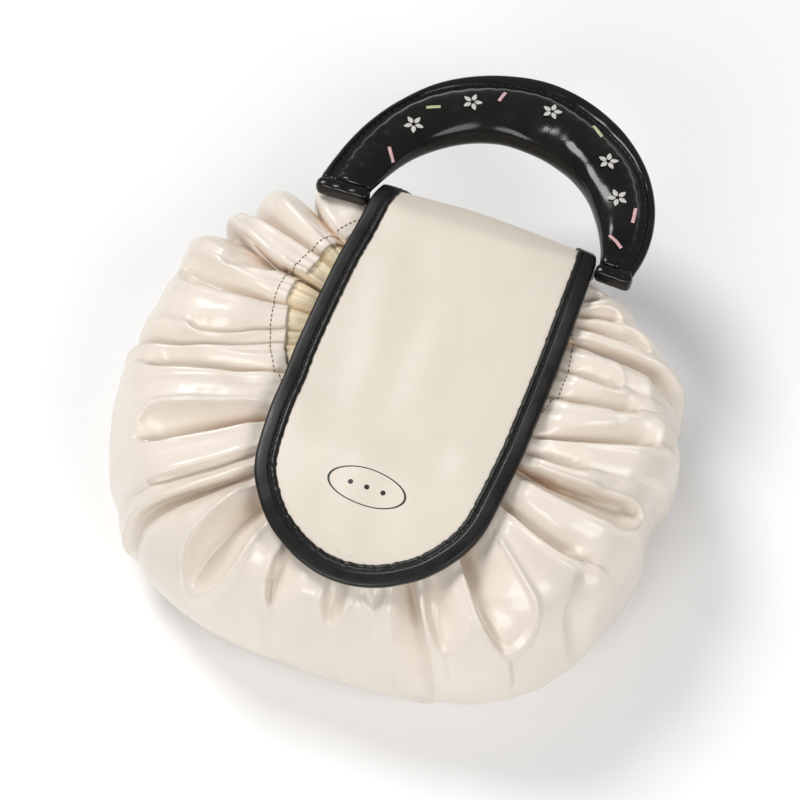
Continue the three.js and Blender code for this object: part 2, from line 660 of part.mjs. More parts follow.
function addEndRoll(name, axis, turned) {
  const shell = new Shell();
  const rings = ROLL_STATIONS.map(([t, size]) => shell.addAll(ROLL_SECTION.map(([a, b]) => axis.middle.clone()
    .addScaledVector(axis.out, mix(axis.inner, axis.outer, t))
    .addScaledVector(axis.along, a * size * END_ROLL_WIDTH / 2)
    .setZ(HANDLE_END_Z + b * size * END_ROLL_HALF))));
  const order = turned ? [...rings].reverse() : rings;
  for (let k = 1; k < order.length; k += 1) shell.band(order[k - 1], order[k], true);
  const capOf = (ring, flip) => {
    for (let i = 2; i < ring.length; i += 1) shell.triangle(ring[0], ring[i - 1], ring[i], flip);
  };
  capOf(order[0], true);
  capOf(order[order.length - 1], false);
  group.add(shell.mesh(name, blackLeather));
}

addBody();
addLining();
addFlapPanel();
addBinding();
addHandle();
addEndRoll('handle_end_right', END_AXES[0], true);
addEndRoll('handle_end_left', END_AXES[1], false);

export default group;
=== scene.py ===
import math

import bpy
import numpy as np
from bpy.props import FloatProperty, FloatVectorProperty, IntProperty, PointerProperty
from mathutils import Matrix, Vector


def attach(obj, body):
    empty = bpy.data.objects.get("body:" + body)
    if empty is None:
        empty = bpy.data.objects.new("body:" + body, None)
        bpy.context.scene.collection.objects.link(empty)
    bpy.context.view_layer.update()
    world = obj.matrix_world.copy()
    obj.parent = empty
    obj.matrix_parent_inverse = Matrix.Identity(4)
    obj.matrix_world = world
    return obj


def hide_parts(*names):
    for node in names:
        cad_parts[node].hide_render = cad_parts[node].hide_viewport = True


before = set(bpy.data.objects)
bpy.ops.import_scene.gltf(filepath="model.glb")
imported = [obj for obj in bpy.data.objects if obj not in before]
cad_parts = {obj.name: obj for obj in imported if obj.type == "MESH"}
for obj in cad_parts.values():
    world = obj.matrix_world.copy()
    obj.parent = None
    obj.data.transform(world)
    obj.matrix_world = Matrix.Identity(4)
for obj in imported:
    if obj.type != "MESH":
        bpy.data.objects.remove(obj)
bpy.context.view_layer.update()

bl_info = {
    "name": "Gathered cosmetic bag",
    "version": (1, 0, 0),
    "blender": (4, 5, 0),
    "location": "View3D > Sidebar > Bag",
    "description": "A soft gathered pouch with a bound flap and a padded ring handle, and its studio",
    "category": "Object",
}

# Form of the bag in millimetres, the same named sizes as the solids
BAG_HEIGHT = 88
BODY_RADIUS = 120
MOUTH_HALF_WIDTH = 58
MOUTH_HALF_DEPTH = 55
MOUTH_X = -3
MOUTH_Y = 30
FLAP_LENGTH = 166
FLAP_HALF_WIDTH = 52.5
FLAP_X = 4.5
FLAP_WALL = 2.0
FLAP_CLEARANCE = 1.3
PIECE_GAP = 0.35
BINDING_WIDTH = 9
BINDING_WALL = 1.1
BINDING_BACK = 2.7
HANDLE_TO_FLAP = 1.95
HANDLE_BAND = 28
HANDLE_RIM = 9
HANDLE_RIM_WALL = 3.2
HANDLE_PAD_HALF = 9
HANDLE_DROP = 8
HANDLE_SAG = 0.7
END_ROLL_WIDTH = 6
END_ROLL_OVER = 0.5
LINING_REACH = 19
LINING_DROP = 12
LINING_GAP = 0.6
FOLD_Y = MOUTH_Y + MOUTH_HALF_DEPTH - 2.5
BINDING_HALF = FLAP_WALL / 2 + PIECE_GAP + BINDING_WALL
FLAP_RISE = BINDING_HALF + FLAP_CLEARANCE
FLAP_FLATNESS = 0.6
PANEL_SETBACK = BINDING_BACK + PIECE_GAP
PANEL_INSET = BINDING_WIDTH + 1.5
HANDLE_X = FLAP_X
HANDLE_Y = MOUTH_Y + MOUTH_HALF_DEPTH + 1.5
HANDLE_INSIDE = FLAP_HALF_WIDTH * 0.945 + HANDLE_TO_FLAP

# Plan outline: degree, share of the radius
OUTLINE = [
    (0, 0.947), (18, 0.997), (30, 0.975), (42, 0.918), (58, 0.915), (90, 0.892), (125, 0.967), (150, 1.003),
    (180, 1.01), (215, 1.037), (240, 0.957), (265, 0.87), (290, 0.897), (315, 0.982), (340, 0.964),
]
# Foot: share of the height, share of the outline, travel past the outline
FOOT = [(0.0, 0.76, 1.32), (0.03, 0.85, 1.25), (0.12, 0.93, 1.17), (0.24, 0.98, 1.1)]
# Wall: share of the height, then the way from mouth to outline at the sides, front and back
WALL = [
    (0.36, 1.0, 1.0, 1.0), (0.52, 1.0, 0.985, 0.9), (0.68, 0.985, 0.94, 0.73), (0.81, 0.94, 0.85, 0.54),
    (0.9, 0.84, 0.72, 0.37), (0.955, 0.68, 0.56, 0.24), (0.985, 0.5, 0.38, 0.15), (1.0, 0.32, 0.22, 0.08),
    (1.01, 0.15, 0.1, 0.03), (1.0, 0.0, 0.0, 0.0),
]
# Fine rows between two rows of the tables
ROW_STEPS = [2, 3, 4, 6, 9, 10, 10, 11, 11, 11, 11, 11, 10]
# Parts of the way round: middle degree, half width and softness of the ends
BACK_WINDOW = (90, 32, 6)
FRONT_WINDOW = (265, 55, 15)
PUFF_WINDOW = (133, 8, 4)
PUFF_FULLNESS = 0.75
RUFFLE_WINDOW = (146, 20, 4)
RUFFLE_RISE = 0.5
# Creases: degree at the hem, half way and at the outline, reach, share of the depth, lean, half
# width at the end, softness of the side that the crease leans away from. Past a reach of 1 a crease
# stays a valley as far as the outline
CREASES = np.array([
    (147, 139.5, 132, 1.25, 1.2, -0.25, 8, 0.6), (158, 150.5, 146, 1.25, 1.2, 0.25, 8, 0.6),
    (172.5, 161, 152, 1.22, 1.2, -0.3, 9, 0.7), (186, 174.5, 165, 0.84, 0.6, 0.1, 6.5, 0.4),
    (197, 189, 172, 0.56, 0.7, 0.3, 5.5, 1), (205, 194, 184, 1.2, 0.75, 0.33, 8, 1),
    (220, 201, 191.5, 0.76, 1.1, 0.35, 7, 0.8), (239, 219, 209, 0.8, 1.0, 0.2, 8, 0),
    (247, 232, 218, 0.84, 0.65, -0.3, 4.5, 1), (252, 238, 223, 1.15, 1.0, -0.28, 7, 1),
    (257, 246.5, 242, 0.95, 1.3, -0.05, 10, 0), (264, 260, 260, 0.92, 0.75, -0.32, 9, 1),
    (271, 272, 274, 0.9, 0.6, -0.1, 4.5, 0.2), (279, 281, 284, 0.82, 0.25, 0, 5, 0.8),
    (287, 288.5, 294.5, 1.1, 1.0, 0.12, 7, 0.5), (295, 296, 300.5, 0.92, 0.75, -0.2, 8, 0.6),
    (301, 305, 313, 0.93, 1.1, -0.33, 11, 0), (308, 323, 341, 0.8, 1.1, -0.3, 6, 1),
    (316, 337.5, 354, 0.9, 1.2, 0.2, 6.5, 0.2), (323, 346, 362, 0.5, 0.9, -0.3, 6.5, 1),
    (328, 356, 371, 0.82, 1.2, -0.33, 7, 0.8), (350, 367, 377, 0.64, 1.0, -0.3, 6, 1),
    (364, 372.5, 379.5, 0.46, 0.9, -0.33, 6, 0.5), (378, 382, 383.5, 1.25, 1.2, 0.3, 8, 0.8),
    (386, 389.5, 390, 0.76, 0.6, 0, 5, 0.5), (391, 396, 400, 0.62, 0.7, 0.25, 4.5, 0.5),
    (399, 404, 409, 0.6, 0.6, 0, 4, 0.5),
], float)
# Dents: degree and travel at the start, then at the end, half width at both, depth, lean
DENTS = [
    (168, 0.22, 166, 0.5, 5, 7, 3.8, 0), (332, 0.84, 326, 0.93, 6, 7, 3, -0.25),
    (346, 0.66, 365, 1.1, 8, 11, 3, 0.2), (379, 0.8, 377, 1.15, 12, 17, 4.4, 0),
    (256, 0.88, 258, 1.0, 5, 6, 1.2, 0), (215, 0.92, 212, 1.1, 9, 10, 1.8, 0),
]
# Distance over which a slope is measured, halvings in a search for a place, waves in a noise
PROBE = 1.5
HALVINGS = 30
NOISE_WAVES = 14
# Distance along the wall from the hem to the outline
WALL_RUN = 75
# Metres to millimetres and back
MILLIMETRES = 1000
METRES = 0.001
# Crease section: half width at the hem and least half width, largest shares of the gap to the next
# crease for the width and the depth, share of the depth at the hem, travel at which it is whole
CREASE_HEM_WIDTH = 3.4
CREASE_LEAST_WIDTH = 0.5
CREASE_WIDTH_LIMIT = 0.92
CREASE_DEPTH_LIMIT = 0.8
CREASE_BEGINNING = 0.62
CREASE_WHOLE_AT = 0.2
# Rim beside a crease: where it is highest, and its spread on both sides of that
RIM_PLACE = 0.8
RIM_NEAR_SPREAD = 0.7
RIM_FAR_SPREAD = 1.9
# Slow waves of the body leather: size, seed, height
BODY_WAVES = [(44, 3, 0.8), (17, 4, 0.25), (7, 5, 0.06)]
# Most that a puff stands out, as a share of the gap between its creases
PUFF_LIMIT = 0.15
# Hem: how far down its unevenness goes, the rise of a tab, and its seam's distance from the edge
HEM_REACH = 0.09
HEM_TAB = 1.8
HEM_SEAM_AT = 2.6
# Width, height, length and pitch of the hem's stitches, then width and height of the others
HEM_STITCH = (0.45, 0.4, 1.25, 2.1)
STITCH_SECTION = (0.6, 0.5)
# Lining collar: its flutes, its wall, how it turns in and down from the hem, and its threads in metres
LINING_FLUTES = 38
LINING_FLUTE_DEPTH = 2.2
LINING_WALL = 0.8
LINING_COURSE = [(0.0, 0.0), (0.3, 0.02), (0.62, 0.16), (0.88, 0.5), (1.0, 1.0)]
LINING_THREAD = 0.0007
LINING_ROUND = 0.058
# Columns of the body's grid
COLUMNS_PER_DEGREE = 2.1
COLUMNS_AT_BACK = 60
# Flap edge in front of the fold: share of the length, share of the half width
FLAP_EDGE = [
    (0, 0.945), (0.2, 0.992), (0.42, 1.0), (0.565, 0.985), (0.72, 0.954), (0.81, 0.907),
    (0.876, 0.8), (0.94, 0.605), (0.983, 0.34), (1.0, 0),
]
# Distance of the binding's seam from its inner edge
BINDING_SEAM = 2.7
# Shares by which the three spans at the fold are drawn straight
FOLD_CHORDS = (0.3, 0.75, 0.3)
# Flap tail: share of the bag's height, share of the half width
FLAP_TAIL = [(0.57, 0.87), (0.67, 0.87), (0.76, 0.875), (0.85, 0.88), (0.92, 0.9), (0.965, 0.93)]
# Handle: degree, shares for the inner edge, the padding's width, the rim and the padding
HANDLE = [
    (-3, 1.01, 0.324, 0.65, 0.39), (12, 0.953, 0.527, 0.69, 0.6), (27, 0.924, 0.696, 0.72, 0.82),
    (43, 0.924, 0.82, 0.76, 0.95), (66, 0.93, 0.898, 1.05, 1.0), (88, 0.939, 0.998, 1.05, 1.0),
    (105, 0.959, 0.945, 0.975, 1.0), (122, 0.952, 0.915, 0.83, 1.0), (138, 0.943, 0.845, 0.65, 0.95),
    (153, 0.943, 0.74, 0.64, 0.82), (168, 0.953, 0.66, 0.63, 0.6), (182, 0.99, 0.571, 0.72, 0.39),
]
# Handle: steps along it, degrees round its padding from one side of the seam to the other and the
# points there, and the seam's distance from the padding
HANDLE_STEPS = 170
PAD_ARC = (24, 336, 35)
HANDLE_SEAM = 2.6
# Powers that square the section of the padding, across and through, and of an end roll
PAD_ACROSS_POWER = 0.9
PAD_THICK_POWER = 0.85
END_ROLL_POWER = 0.6
# Sprinkle dashes, each from one degree and share across the padding to another, then the flowers
DASHES = {
    "pink": [
        ((157.5, -0.32), (161.5, -0.88)), ((102, 0.52), (104, 0.1)), ((27, 0.74), (20, 0.64)),
        ((12.5, -0.5), (6.5, 0.34)),
    ],
    "green": [((133, 0.26), (127.5, 0.08)), ((68, 0.84), (62, 0.7))],
}
DASH_WIDTH = 1.5
FLOWERS = [(141.5, -0.16), (114.5, 0.04), (83, 0.26), (50.5, 0.18), (32, -0.02)]
FLOWER_PETALS = 5
FLOWER_RADIUS = 4.4
FLOWER_EYE = 0.9
# Embroidery threads: width, height and lift off the leather
THREAD_WIDTH = 0.36
THREAD_RISE = 0.4
THREAD_LIFT = 0.3
# Lamps: name, place, size and power
LAMPS = [
    ("key_light", (-0.9, 0.5, 1.5), 0.7, 17), ("fill_light", (1.1, -0.6, 1.3), 0.9, 9.5),
    ("front_light", (-0.2, -1.4, 1.1), 0.8, 9.5),
]
LAMPS_LOOK_AT = (0, 0, 0.03)
# Strength of the light from all round
AIR_LIGHT = 0.3
FLOOR_SIZE = 6
# Camera: where it looks, its distance, its angles as in the picture, lens and sensor width
VIEW_TARGET = (-0.0087, 0.0202, 0.0428)
VIEW_DISTANCE = 0.9556
VIEW_AZIMUTH = 20.7
VIEW_ELEVATION = 60.4
VIEW_LENS = 100
VIEW_SENSOR = 36


def length_property(name, description, default):
    return FloatProperty(name=name, description=description, default=default, unit="LENGTH")


def colour_property(name, description, default):
    return FloatVectorProperty(name=name, description=description, default=default, subtype="COLOR")


class BagSizes(bpy.types.PropertyGroup):
    """Sizes that a user of the bag would change"""

    fold_depth: length_property("Fold depth", "Depth of the deepest gather", 0.0125)
    puff_height: length_property("Puff height", "How far a puff stands out between two gathers", 0.0042)
    pocket_depth: length_property("Pocket depth", "Depth of the rounded hollow at a gather's end", 0.006)
    rim_height: length_property("Rim height", "How far the rim of a hollow stands out", 0.0021)
    leather_wall: length_property("Leather", "Thickness of the body leather", 0.0015)
    stitch_pitch: length_property("Stitch pitch", "Distance from one stitch to the next", 0.0036)
    stitch_length: length_property("Stitch length", "Length of one stitch", 0.0026)
    wrinkle_seed: IntProperty(
        name="Wrinkles", description="Number that the fine wrinkles start from", default=7)


class BagColours(bpy.types.PropertyGroup):
    """Colours that a user of the bag would change"""

    cream: colour_property("Body leather", "Cream of the gathered body", (0.82, 0.735, 0.64))
    flap_cream: colour_property("Flap leather", "Warmer cream of the flap", (0.74, 0.67, 0.575))
    black: colour_property("Black leather", "Black of the binding and handle", (0.005, 0.0046, 0.0041))
    lining: colour_property("Lining", "Pale yellow of the lining", (0.97, 0.82, 0.58))
    hem_thread: colour_property("Hem thread", "Dark brown thread of the hem", (0.22, 0.12, 0.065))
    pink: colour_property("Pink thread", "Pink of the sprinkle dashes", (0.85, 0.55, 0.56))
    green: colour_property("Green thread", "Green of the sprinkle dashes", (0.62, 0.72, 0.42))
    white: colour_property("White thread", "White of the stitched flowers", (0.78, 0.76, 0.71))
    floor: colour_property("Floor", "Pale studio floor", (0.95, 0.95, 0.95))


def mix(a, b, t):
    return a + (b - a) * t


def ease(x):
    x = np.clip(x, 0, 1)
    return x * x * (3 - 2 * x)


def unit(vectors):
    return vectors / np.maximum(np.linalg.norm(vectors, axis=-1, keepdims=True), 1e-9)


def run_along(line):
    """Distance along a line of points at each of them"""
    return np.concatenate([[0], np.cumsum(np.linalg.norm(np.diff(line, axis=0), axis=1))])


def grid_normals(points):
    """Direction round and outward normal at each point of a closed grid of rows"""
    around = unit(np.roll(points, -1, 1) - np.roll(points, 1, 1))
    return around, unit(np.cross(around, np.gradient(points, axis=0)))


def signed_power(value, power):
    return math.copysign(abs(value) ** power, value)


def smooth_row(rows, x, c):
    """Smooth value of column c of a table at places x of its first column"""
    rows = np.asarray(rows, float)
    last = len(rows) - 1
    x = np.asarray(x, float)
    i = np.clip(np.searchsorted(rows[:, 0], x, side="left") - 1, 0, last - 1)

    def slope(k):
        a = rows[np.maximum(k - 1, 0)]
        b = rows[np.minimum(k + 1, last)]
        return (b[..., c] - a[..., c]) / (b[..., 0] - a[..., 0])

    span = rows[i + 1, 0] - rows[i, 0]
    t = (x - rows[i, 0]) / span
    cubic = (2 * t - 3) * t * t
    bent = slope(i) * t * (1 - t) ** 2 - slope(i + 1) * t * t * (1 - t)
    return rows[i, c] * (cubic + 1) - rows[i + 1, c] * cubic + span * bent


OUTLINE_ROUND = [(d + turn, s) for turn in (-360, 0, 360) for d, s in OUTLINE]


def outline_radius(degrees):
    return BODY_RADIUS * smooth_row(OUTLINE_ROUND, np.mod(degrees, 360), 1)


def mouth_radius(degrees):
    angle = np.radians(degrees)
    return 1 / np.hypot(np.cos(angle) / MOUTH_HALF_WIDTH, np.sin(angle) / MOUTH_HALF_DEPTH)


def window_at(degrees, middle, half, soft):
    away = np.abs(np.mod(degrees - middle + 180, 360) - 180)
    return 1 / (1 + np.exp(np.clip((away - half) / soft, -60, 60)))


def spread_at(row, degrees):
    """Share of the way from the mouth to the outline for one row of the wall table"""
    front = window_at(degrees, *FRONT_WINDOW)
    back = window_at(degrees, *BACK_WINDOW)
    share = mix(mix(row[1], row[2], front), row[3], back)
    return mix(share, share ** PUFF_FULLNESS, window_at(degrees, *PUFF_WINDOW))


def control_ring(k, degrees):
    """Plan point, height and travel of one table row, counted up from the foot"""
    k = min(max(k, 0), len(FOOT) + len(WALL) - 1)
    angle = np.radians(degrees)
    if k < len(FOOT):
        level, share, travel = FOOT[k]
        r = outline_radius(degrees) * share
        x = r * np.cos(angle)
        return np.stack([x, r * np.sin(angle), x * 0 + level * BAG_HEIGHT, x * 0 + travel], -1)
    row = WALL[k - len(FOOT)]
    q = spread_at(row, degrees)
    r = mix(mouth_radius(degrees), outline_radius(degrees), q)
    x = MOUTH_X * (1 - q) + r * np.cos(angle)
    y = MOUTH_Y * (1 - q) + r * np.sin(angle)
    travel = q + 0.35 * max(0.5 - row[0], 0)
    return np.stack([x, y, x * 0 + row[0] * BAG_HEIGHT, travel], -1)


def blend_four(a, b, c, d, t):
    """Smooth curve from b to c with a before and d after"""
    return b + 0.5 * t * (c - a + t * (2 * a - 5 * b + 4 * c - d + t * (3 * (b - c) + d - a)))


def wall_ring(row, degrees):
    """Unfolded wall at a part row: x, y, z and travel, 0 at the hem and 1 at the outline"""
    k = min(int(row), len(FOOT) + len(WALL) - 2)
    return blend_four(*[control_ring(k + n, degrees) for n in (-1, 0, 1, 2)], row - k)


def refine(points, steps, head=None, tail=None, straight=None):
    """Smooth curve through points along their first axis, with steps parts between two; straight
    gives a share for each span by which it is drawn to its chord"""
    head = 2 * points[0] - points[1] if head is None else head
    tail = 2 * points[-1] - points[-2] if tail is None else tail
    p = np.concatenate([head[None], points, tail[None]])
    keep = 0.0 if straight is None else np.asarray(straight).reshape((-1,) + (1,) * (points.ndim - 1))
    parts = []
    for s in range(steps):
        smooth = blend_four(p[:-3], p[1:-2], p[2:-1], p[3:], s / steps)
        parts.append(mix(smooth, mix(p[1:-2], p[2:-1], s / steps), keep))
    fine = np.stack(parts, 1).reshape((-1,) + points.shape[1:])
    return np.concatenate([fine, points[-1:]])


def soft_noise(points, size, seed):
    """Smooth seeded noise, about from -1 to 1, with bumps about size millimetres apart"""
    random = np.random.default_rng(seed)
    total = np.zeros(points.shape[:-1])
    for _ in range(NOISE_WAVES):
        direction = unit(random.normal(size=3))
        stretch = random.uniform(0.7, 1.4)
        total += np.cos(points @ direction * (2 * math.pi * stretch / size) + random.uniform(0, 2 * math.pi))
    return total / math.sqrt(NOISE_WAVES) * 0.9


def ring_through(x, y):
    """Ring share and degree through plan points, 0 inside the mouth"""
    low = np.zeros(np.shape(x))
    high = np.ones(np.shape(x))
    for _ in range(HALVINGS):
        q = (low + high) / 2
        dx = x - MOUTH_X * (1 - q)
        dy = y - MOUTH_Y * (1 - q)
        degrees = np.degrees(np.arctan2(dy, dx))
        r = mix(mouth_radius(degrees), outline_radius(degrees), q)
        outside = np.hypot(dx, dy) > r
        low = np.where(outside, q, low)
        high = np.where(outside, high, q)
    return low, degrees


def base_height(x, y):
    """Height of the unfolded upper wall over plan points, level across the mouth"""
    q, degrees = ring_through(x, y)
    shares = np.stack([spread_at(row, degrees) for row in WALL[::-1]], -1)
    levels = np.array([row[0] for row in WALL[::-1]])
    height = np.full(q.shape, levels[0])
    for k in range(len(levels) - 1):
        span = np.maximum(shares[..., k + 1] - shares[..., k], 1e-6)
        t = np.clip((q - shares[..., k]) / span, 0, 1)
        height = np.where(q > shares[..., k], mix(levels[k], levels[k + 1], t), height)
    return BAG_HEIGHT * height


def flap_height(x, y):
    middle = base_height(np.full(np.shape(x), float(FLAP_X)), y)
    low = base_height(x, y)
    return mix(low, np.maximum(middle, low), FLAP_FLATNESS)


def flap_on_top(x, y):
    """Point and normal of the flap's middle surface in front of the fold"""
    z = flap_height(x, y)
    slope_x = (flap_height(x + PROBE, y) - flap_height(x - PROBE, y)) / (2 * PROBE)
    slope_y = (z - flap_height(x, y - 2 * PROBE)) / (2 * PROBE)
    normal = unit(np.stack([-slope_x, -slope_y, np.ones(np.shape(x))], -1))
    return np.stack([x, y, z], -1) + normal * FLAP_RISE, normal


def back_wall(x, level):
    """Back wall at a level, where its ring crosses x"""
    levels = [row[0] for row in WALL]
    k = 0
    while k < len(WALL) - 2 and levels[k + 1] < level:
        k += 1
    part = (level - levels[k]) / (levels[k + 1] - levels[k])
    low = np.full(np.shape(x), 40.0)
    high = np.full(np.shape(x), 140.0)
    for _ in range(HALVINGS):
        middle = (low + high) / 2
        place = mix(control_ring(len(FOOT) + k, middle), control_ring(len(FOOT) + k + 1, middle), part)
        low = np.where(place[..., 0] > x, middle, low)
        high = np.where(place[..., 0] > x, high, middle)
    return mix(control_ring(len(FOOT) + k, low), control_ring(len(FOOT) + k + 1, low), part)[..., :3]


def flap_back_point(x, level):
    wall = back_wall(x, level)
    middle = back_wall(np.full(np.shape(x), float(FLAP_X)), level)
    wall[..., 1] = mix(wall[..., 1], np.maximum(middle[..., 1], wall[..., 1]), FLAP_FLATNESS)
    return wall


def flap_on_back(x, level):
    across = flap_back_point(x + PROBE, level) - flap_back_point(x - PROBE, level)
    step = PROBE / BAG_HEIGHT
    up = flap_back_point(x, level + step) - flap_back_point(x, level - step)
    normal = unit(np.cross(up, across))
    return flap_back_point(x, level) + normal * FLAP_RISE, normal


def flap_place(x, y, level):
    if level is None:
        return flap_on_top(x, y)
    return flap_on_back(x, level)


def flap_stations():
    """Level or y, and half width, from the tail's end to the tip"""
    stations = [(level, None, half * FLAP_HALF_WIDTH) for level, half in FLAP_TAIL]
    edge = np.array([(FOLD_Y - along * FLAP_LENGTH, half * FLAP_HALF_WIDTH) for along, half in FLAP_EDGE])
    mirrored = edge[-2] * (1, -1)
    fine = refine(edge, 2, 2 * edge[0] - edge[1] + (0, edge[1][1] - edge[0][1]), mirrored)
    stations += [(None, y, max(half, 0.0)) for y, half in fine]
    return stations


def edge_frames(side):
    """Edge point, direction in from the edge, and normal at each station on one side"""
    stations = flap_stations()
    last = len(stations) - 1
    frames = []
    for k, (level, y, half) in enumerate(stations):
        x = FLAP_X + side * half
        if level is not None:
            inner = (x - side * PANEL_INSET, 0.0)
        else:
            before = stations[k - 1] if stations[k - 1][0] is None else stations[k]
            after = (None, before[1], -before[2]) if k == last else stations[k + 1]
            along = unit(np.array([side * (after[2] - before[2]), after[1] - before[1]]))
            inward = (0.0, 1.0) if k == last else (side * along[1], -side * along[0])
            inner = (x + inward[0] * PANEL_INSET, y + inward[1] * PANEL_INSET)
        place = 0.0 if y is None else y
        edge, normal = flap_place(np.array([x]), np.array([place]), level)
        inset, _ = flap_place(np.array([inner[0]]), np.array([inner[1]]), level)
        inward = unit(inset[0] - edge[0])
        normal = unit(normal[0] - inward * np.dot(normal[0], inward))
        frames.append(np.concatenate([edge[0], inward, normal, inner]))
    return np.array(frames)


def flap_outline():
    """Plan points round the flap's edge, closely spaced"""
    rows = np.array([(y, half) for level, y, half in flap_stations() if level is None])
    fine = refine(rows, 6, None, rows[-2] * (1, -1))
    left = np.stack([FLAP_X - fine[:, 1], fine[:, 0]], -1)
    right = np.stack([FLAP_X + fine[:, 1], fine[:, 0]], -1)
    return left, right


def clear_of_flap(points):
    """0 under the flap or its edge, 1 well beside it"""
    left, right = flap_outline()
    edge = np.concatenate([left, right])
    flat = points.reshape(-1, points.shape[-1])[:, :2]
    nearest = np.full(len(flat), 1e9)
    for start in range(0, len(edge), 16):
        gaps = flat[:, None] - edge[None, start:start + 16]
        nearest = np.minimum(nearest, np.hypot(gaps[..., 0], gaps[..., 1]).min(1))
    half = np.interp(-flat[:, 1], -left[:, 1], FLAP_X - left[:, 0], left=FLAP_X - left[0, 0], right=0)
    inside = (np.abs(flat[:, 0] - FLAP_X) < half) & (flat[:, 1] > left[-1, 1])
    free = np.where(inside, 0, ease((nearest - 1.0) / 7))
    return free.reshape(points.shape[:-1])


def crease_degree(crease, q):
    """Degree of a crease's line at a share q of the way out"""
    hem, middle, out = crease[..., 0], crease[..., 1], crease[..., 2]
    return hem * 2 * (q - 0.5) * (q - 1) + middle * 4 * q * (1 - q) + out * 2 * q * (q - 0.5)


def crease_effect(d, side, travel, gap, crease, sizes):
    """Press, lip, slide and shadow of one crease at d millimetres to one side of it: a narrow
    valley at the hem that widens into a dish with a steep wall, a rim and a round end"""
    reach, share, lean, end_width, soft = crease[3:]
    steep = lean * side
    out = ease(travel / reach) * (0.3 if reach > 1 else 1.0)
    width = mix(CREASE_HEM_WIDTH, end_width, ease(travel / reach)) * (1 - 1.6 * steep)
    width = np.maximum(np.minimum(width, CREASE_WIDTH_LIMIT * gap), CREASE_LEAST_WIDTH)
    length = 0.011 * end_width + 0.04
    far = np.maximum((travel - (reach - length)) / length, 0)
    x = np.sqrt((d / width) ** 2 + far ** 2)
    inside = np.minimum(x, 1)
    begin = mix(CREASE_BEGINNING, 1.0, ease(travel / CREASE_WHOLE_AT))
    deep = mix(sizes.fold_depth, sizes.pocket_depth, out) * MILLIMETRES * share * begin
    deep = np.minimum(deep, CREASE_DEPTH_LIMIT * gap)
    if reach > 1:
        deep *= 1 - 0.8 * ease((travel - 0.78) / 0.3)
    fade = soft * min(max(-steep / 0.2, 0), 1)
    power = mix(1.0, mix(2.4 + 3 * max(steep, 0), 1.5, fade), out)
    roll = mix(2.0, mix(0.8 - 0.8 * max(steep, 0), 2.0, fade), out)
    press = deep * (1 - inside ** power) ** roll
    press *= 1 + 1.5 * steep * inside * out
    beyond = (x - 1) * np.maximum(width, 3)
    lip = sizes.rim_height * MILLIMETRES * share * begin * (1 - fade) * mix(0.45, 1.0, out)
    spread = np.where(beyond > RIM_PLACE, RIM_FAR_SPREAD, RIM_NEAR_SPREAD)
    lip = lip * np.exp(-((beyond - RIM_PLACE) / spread) ** 2)
    return press, lip, lean * 1.3 * press, press * (1 - 0.8 * ease(travel / reach))


def dent_press(degrees, travel):
    """Press of the separate dents and, below nought, of the swellings"""
    radius = mix(mouth_radius(degrees), outline_radius(degrees), np.clip(travel, 0, 1)) * math.pi / 180
    total = np.zeros(travel.shape)
    for first, begin, last, end, narrow, wide, depth, lean in DENTS:
        turned = np.mod(degrees - first + 180, 360) - 180
        middle = radius.mean(where=np.abs(turned) < 20)
        run = np.array([(last - first) * middle, (end - begin) * WALL_RUN])
        u = turned * radius
        v = (travel - begin) * WALL_RUN
        share = np.clip((u * run[0] + v * run[1]) / (run @ run), 0, 1)
        du = u - share * run[0]
        dv = v - share * run[1]
        side = (du * run[1] - dv * run[0]) / (np.hypot(du, dv) * np.linalg.norm(run) + 1e-6)
        width = mix(narrow, wide, share) * (1 - 1.6 * lean * side)
        x = np.minimum(np.hypot(du, dv) / width, 1)
        sharp = np.clip(lean * side / 0.3, 0, 1) * ease(share / 0.2)
        total += depth * (1 - x ** (2 + 2 * sharp)) ** (1.6 - 0.8 * sharp)
    return total


def minor_creases(phase, gap_index, gap, travel, seed):
    """Short fine gathers between the main ones near the hem"""
    random = np.random.default_rng(seed)
    press = np.zeros(travel.shape)
    for k in range(len(CREASES) - 1):
        for place in (0.32, 0.68):
            at = place + random.uniform(-0.08, 0.08)
            reach = random.uniform(0.16, 0.42)
            depth = random.uniform(1.0, 2.3)
            drift = random.uniform(-0.15, 0.15)
            d = np.abs(phase - at - drift * travel) * gap
            fade = ease(1 - travel / reach)
            one = depth * fade * np.maximum(1 - d / (2.6 + 6 * travel), 0) ** 1.6
            press = np.where(gap_index == k, np.maximum(press, one), press)
    return press


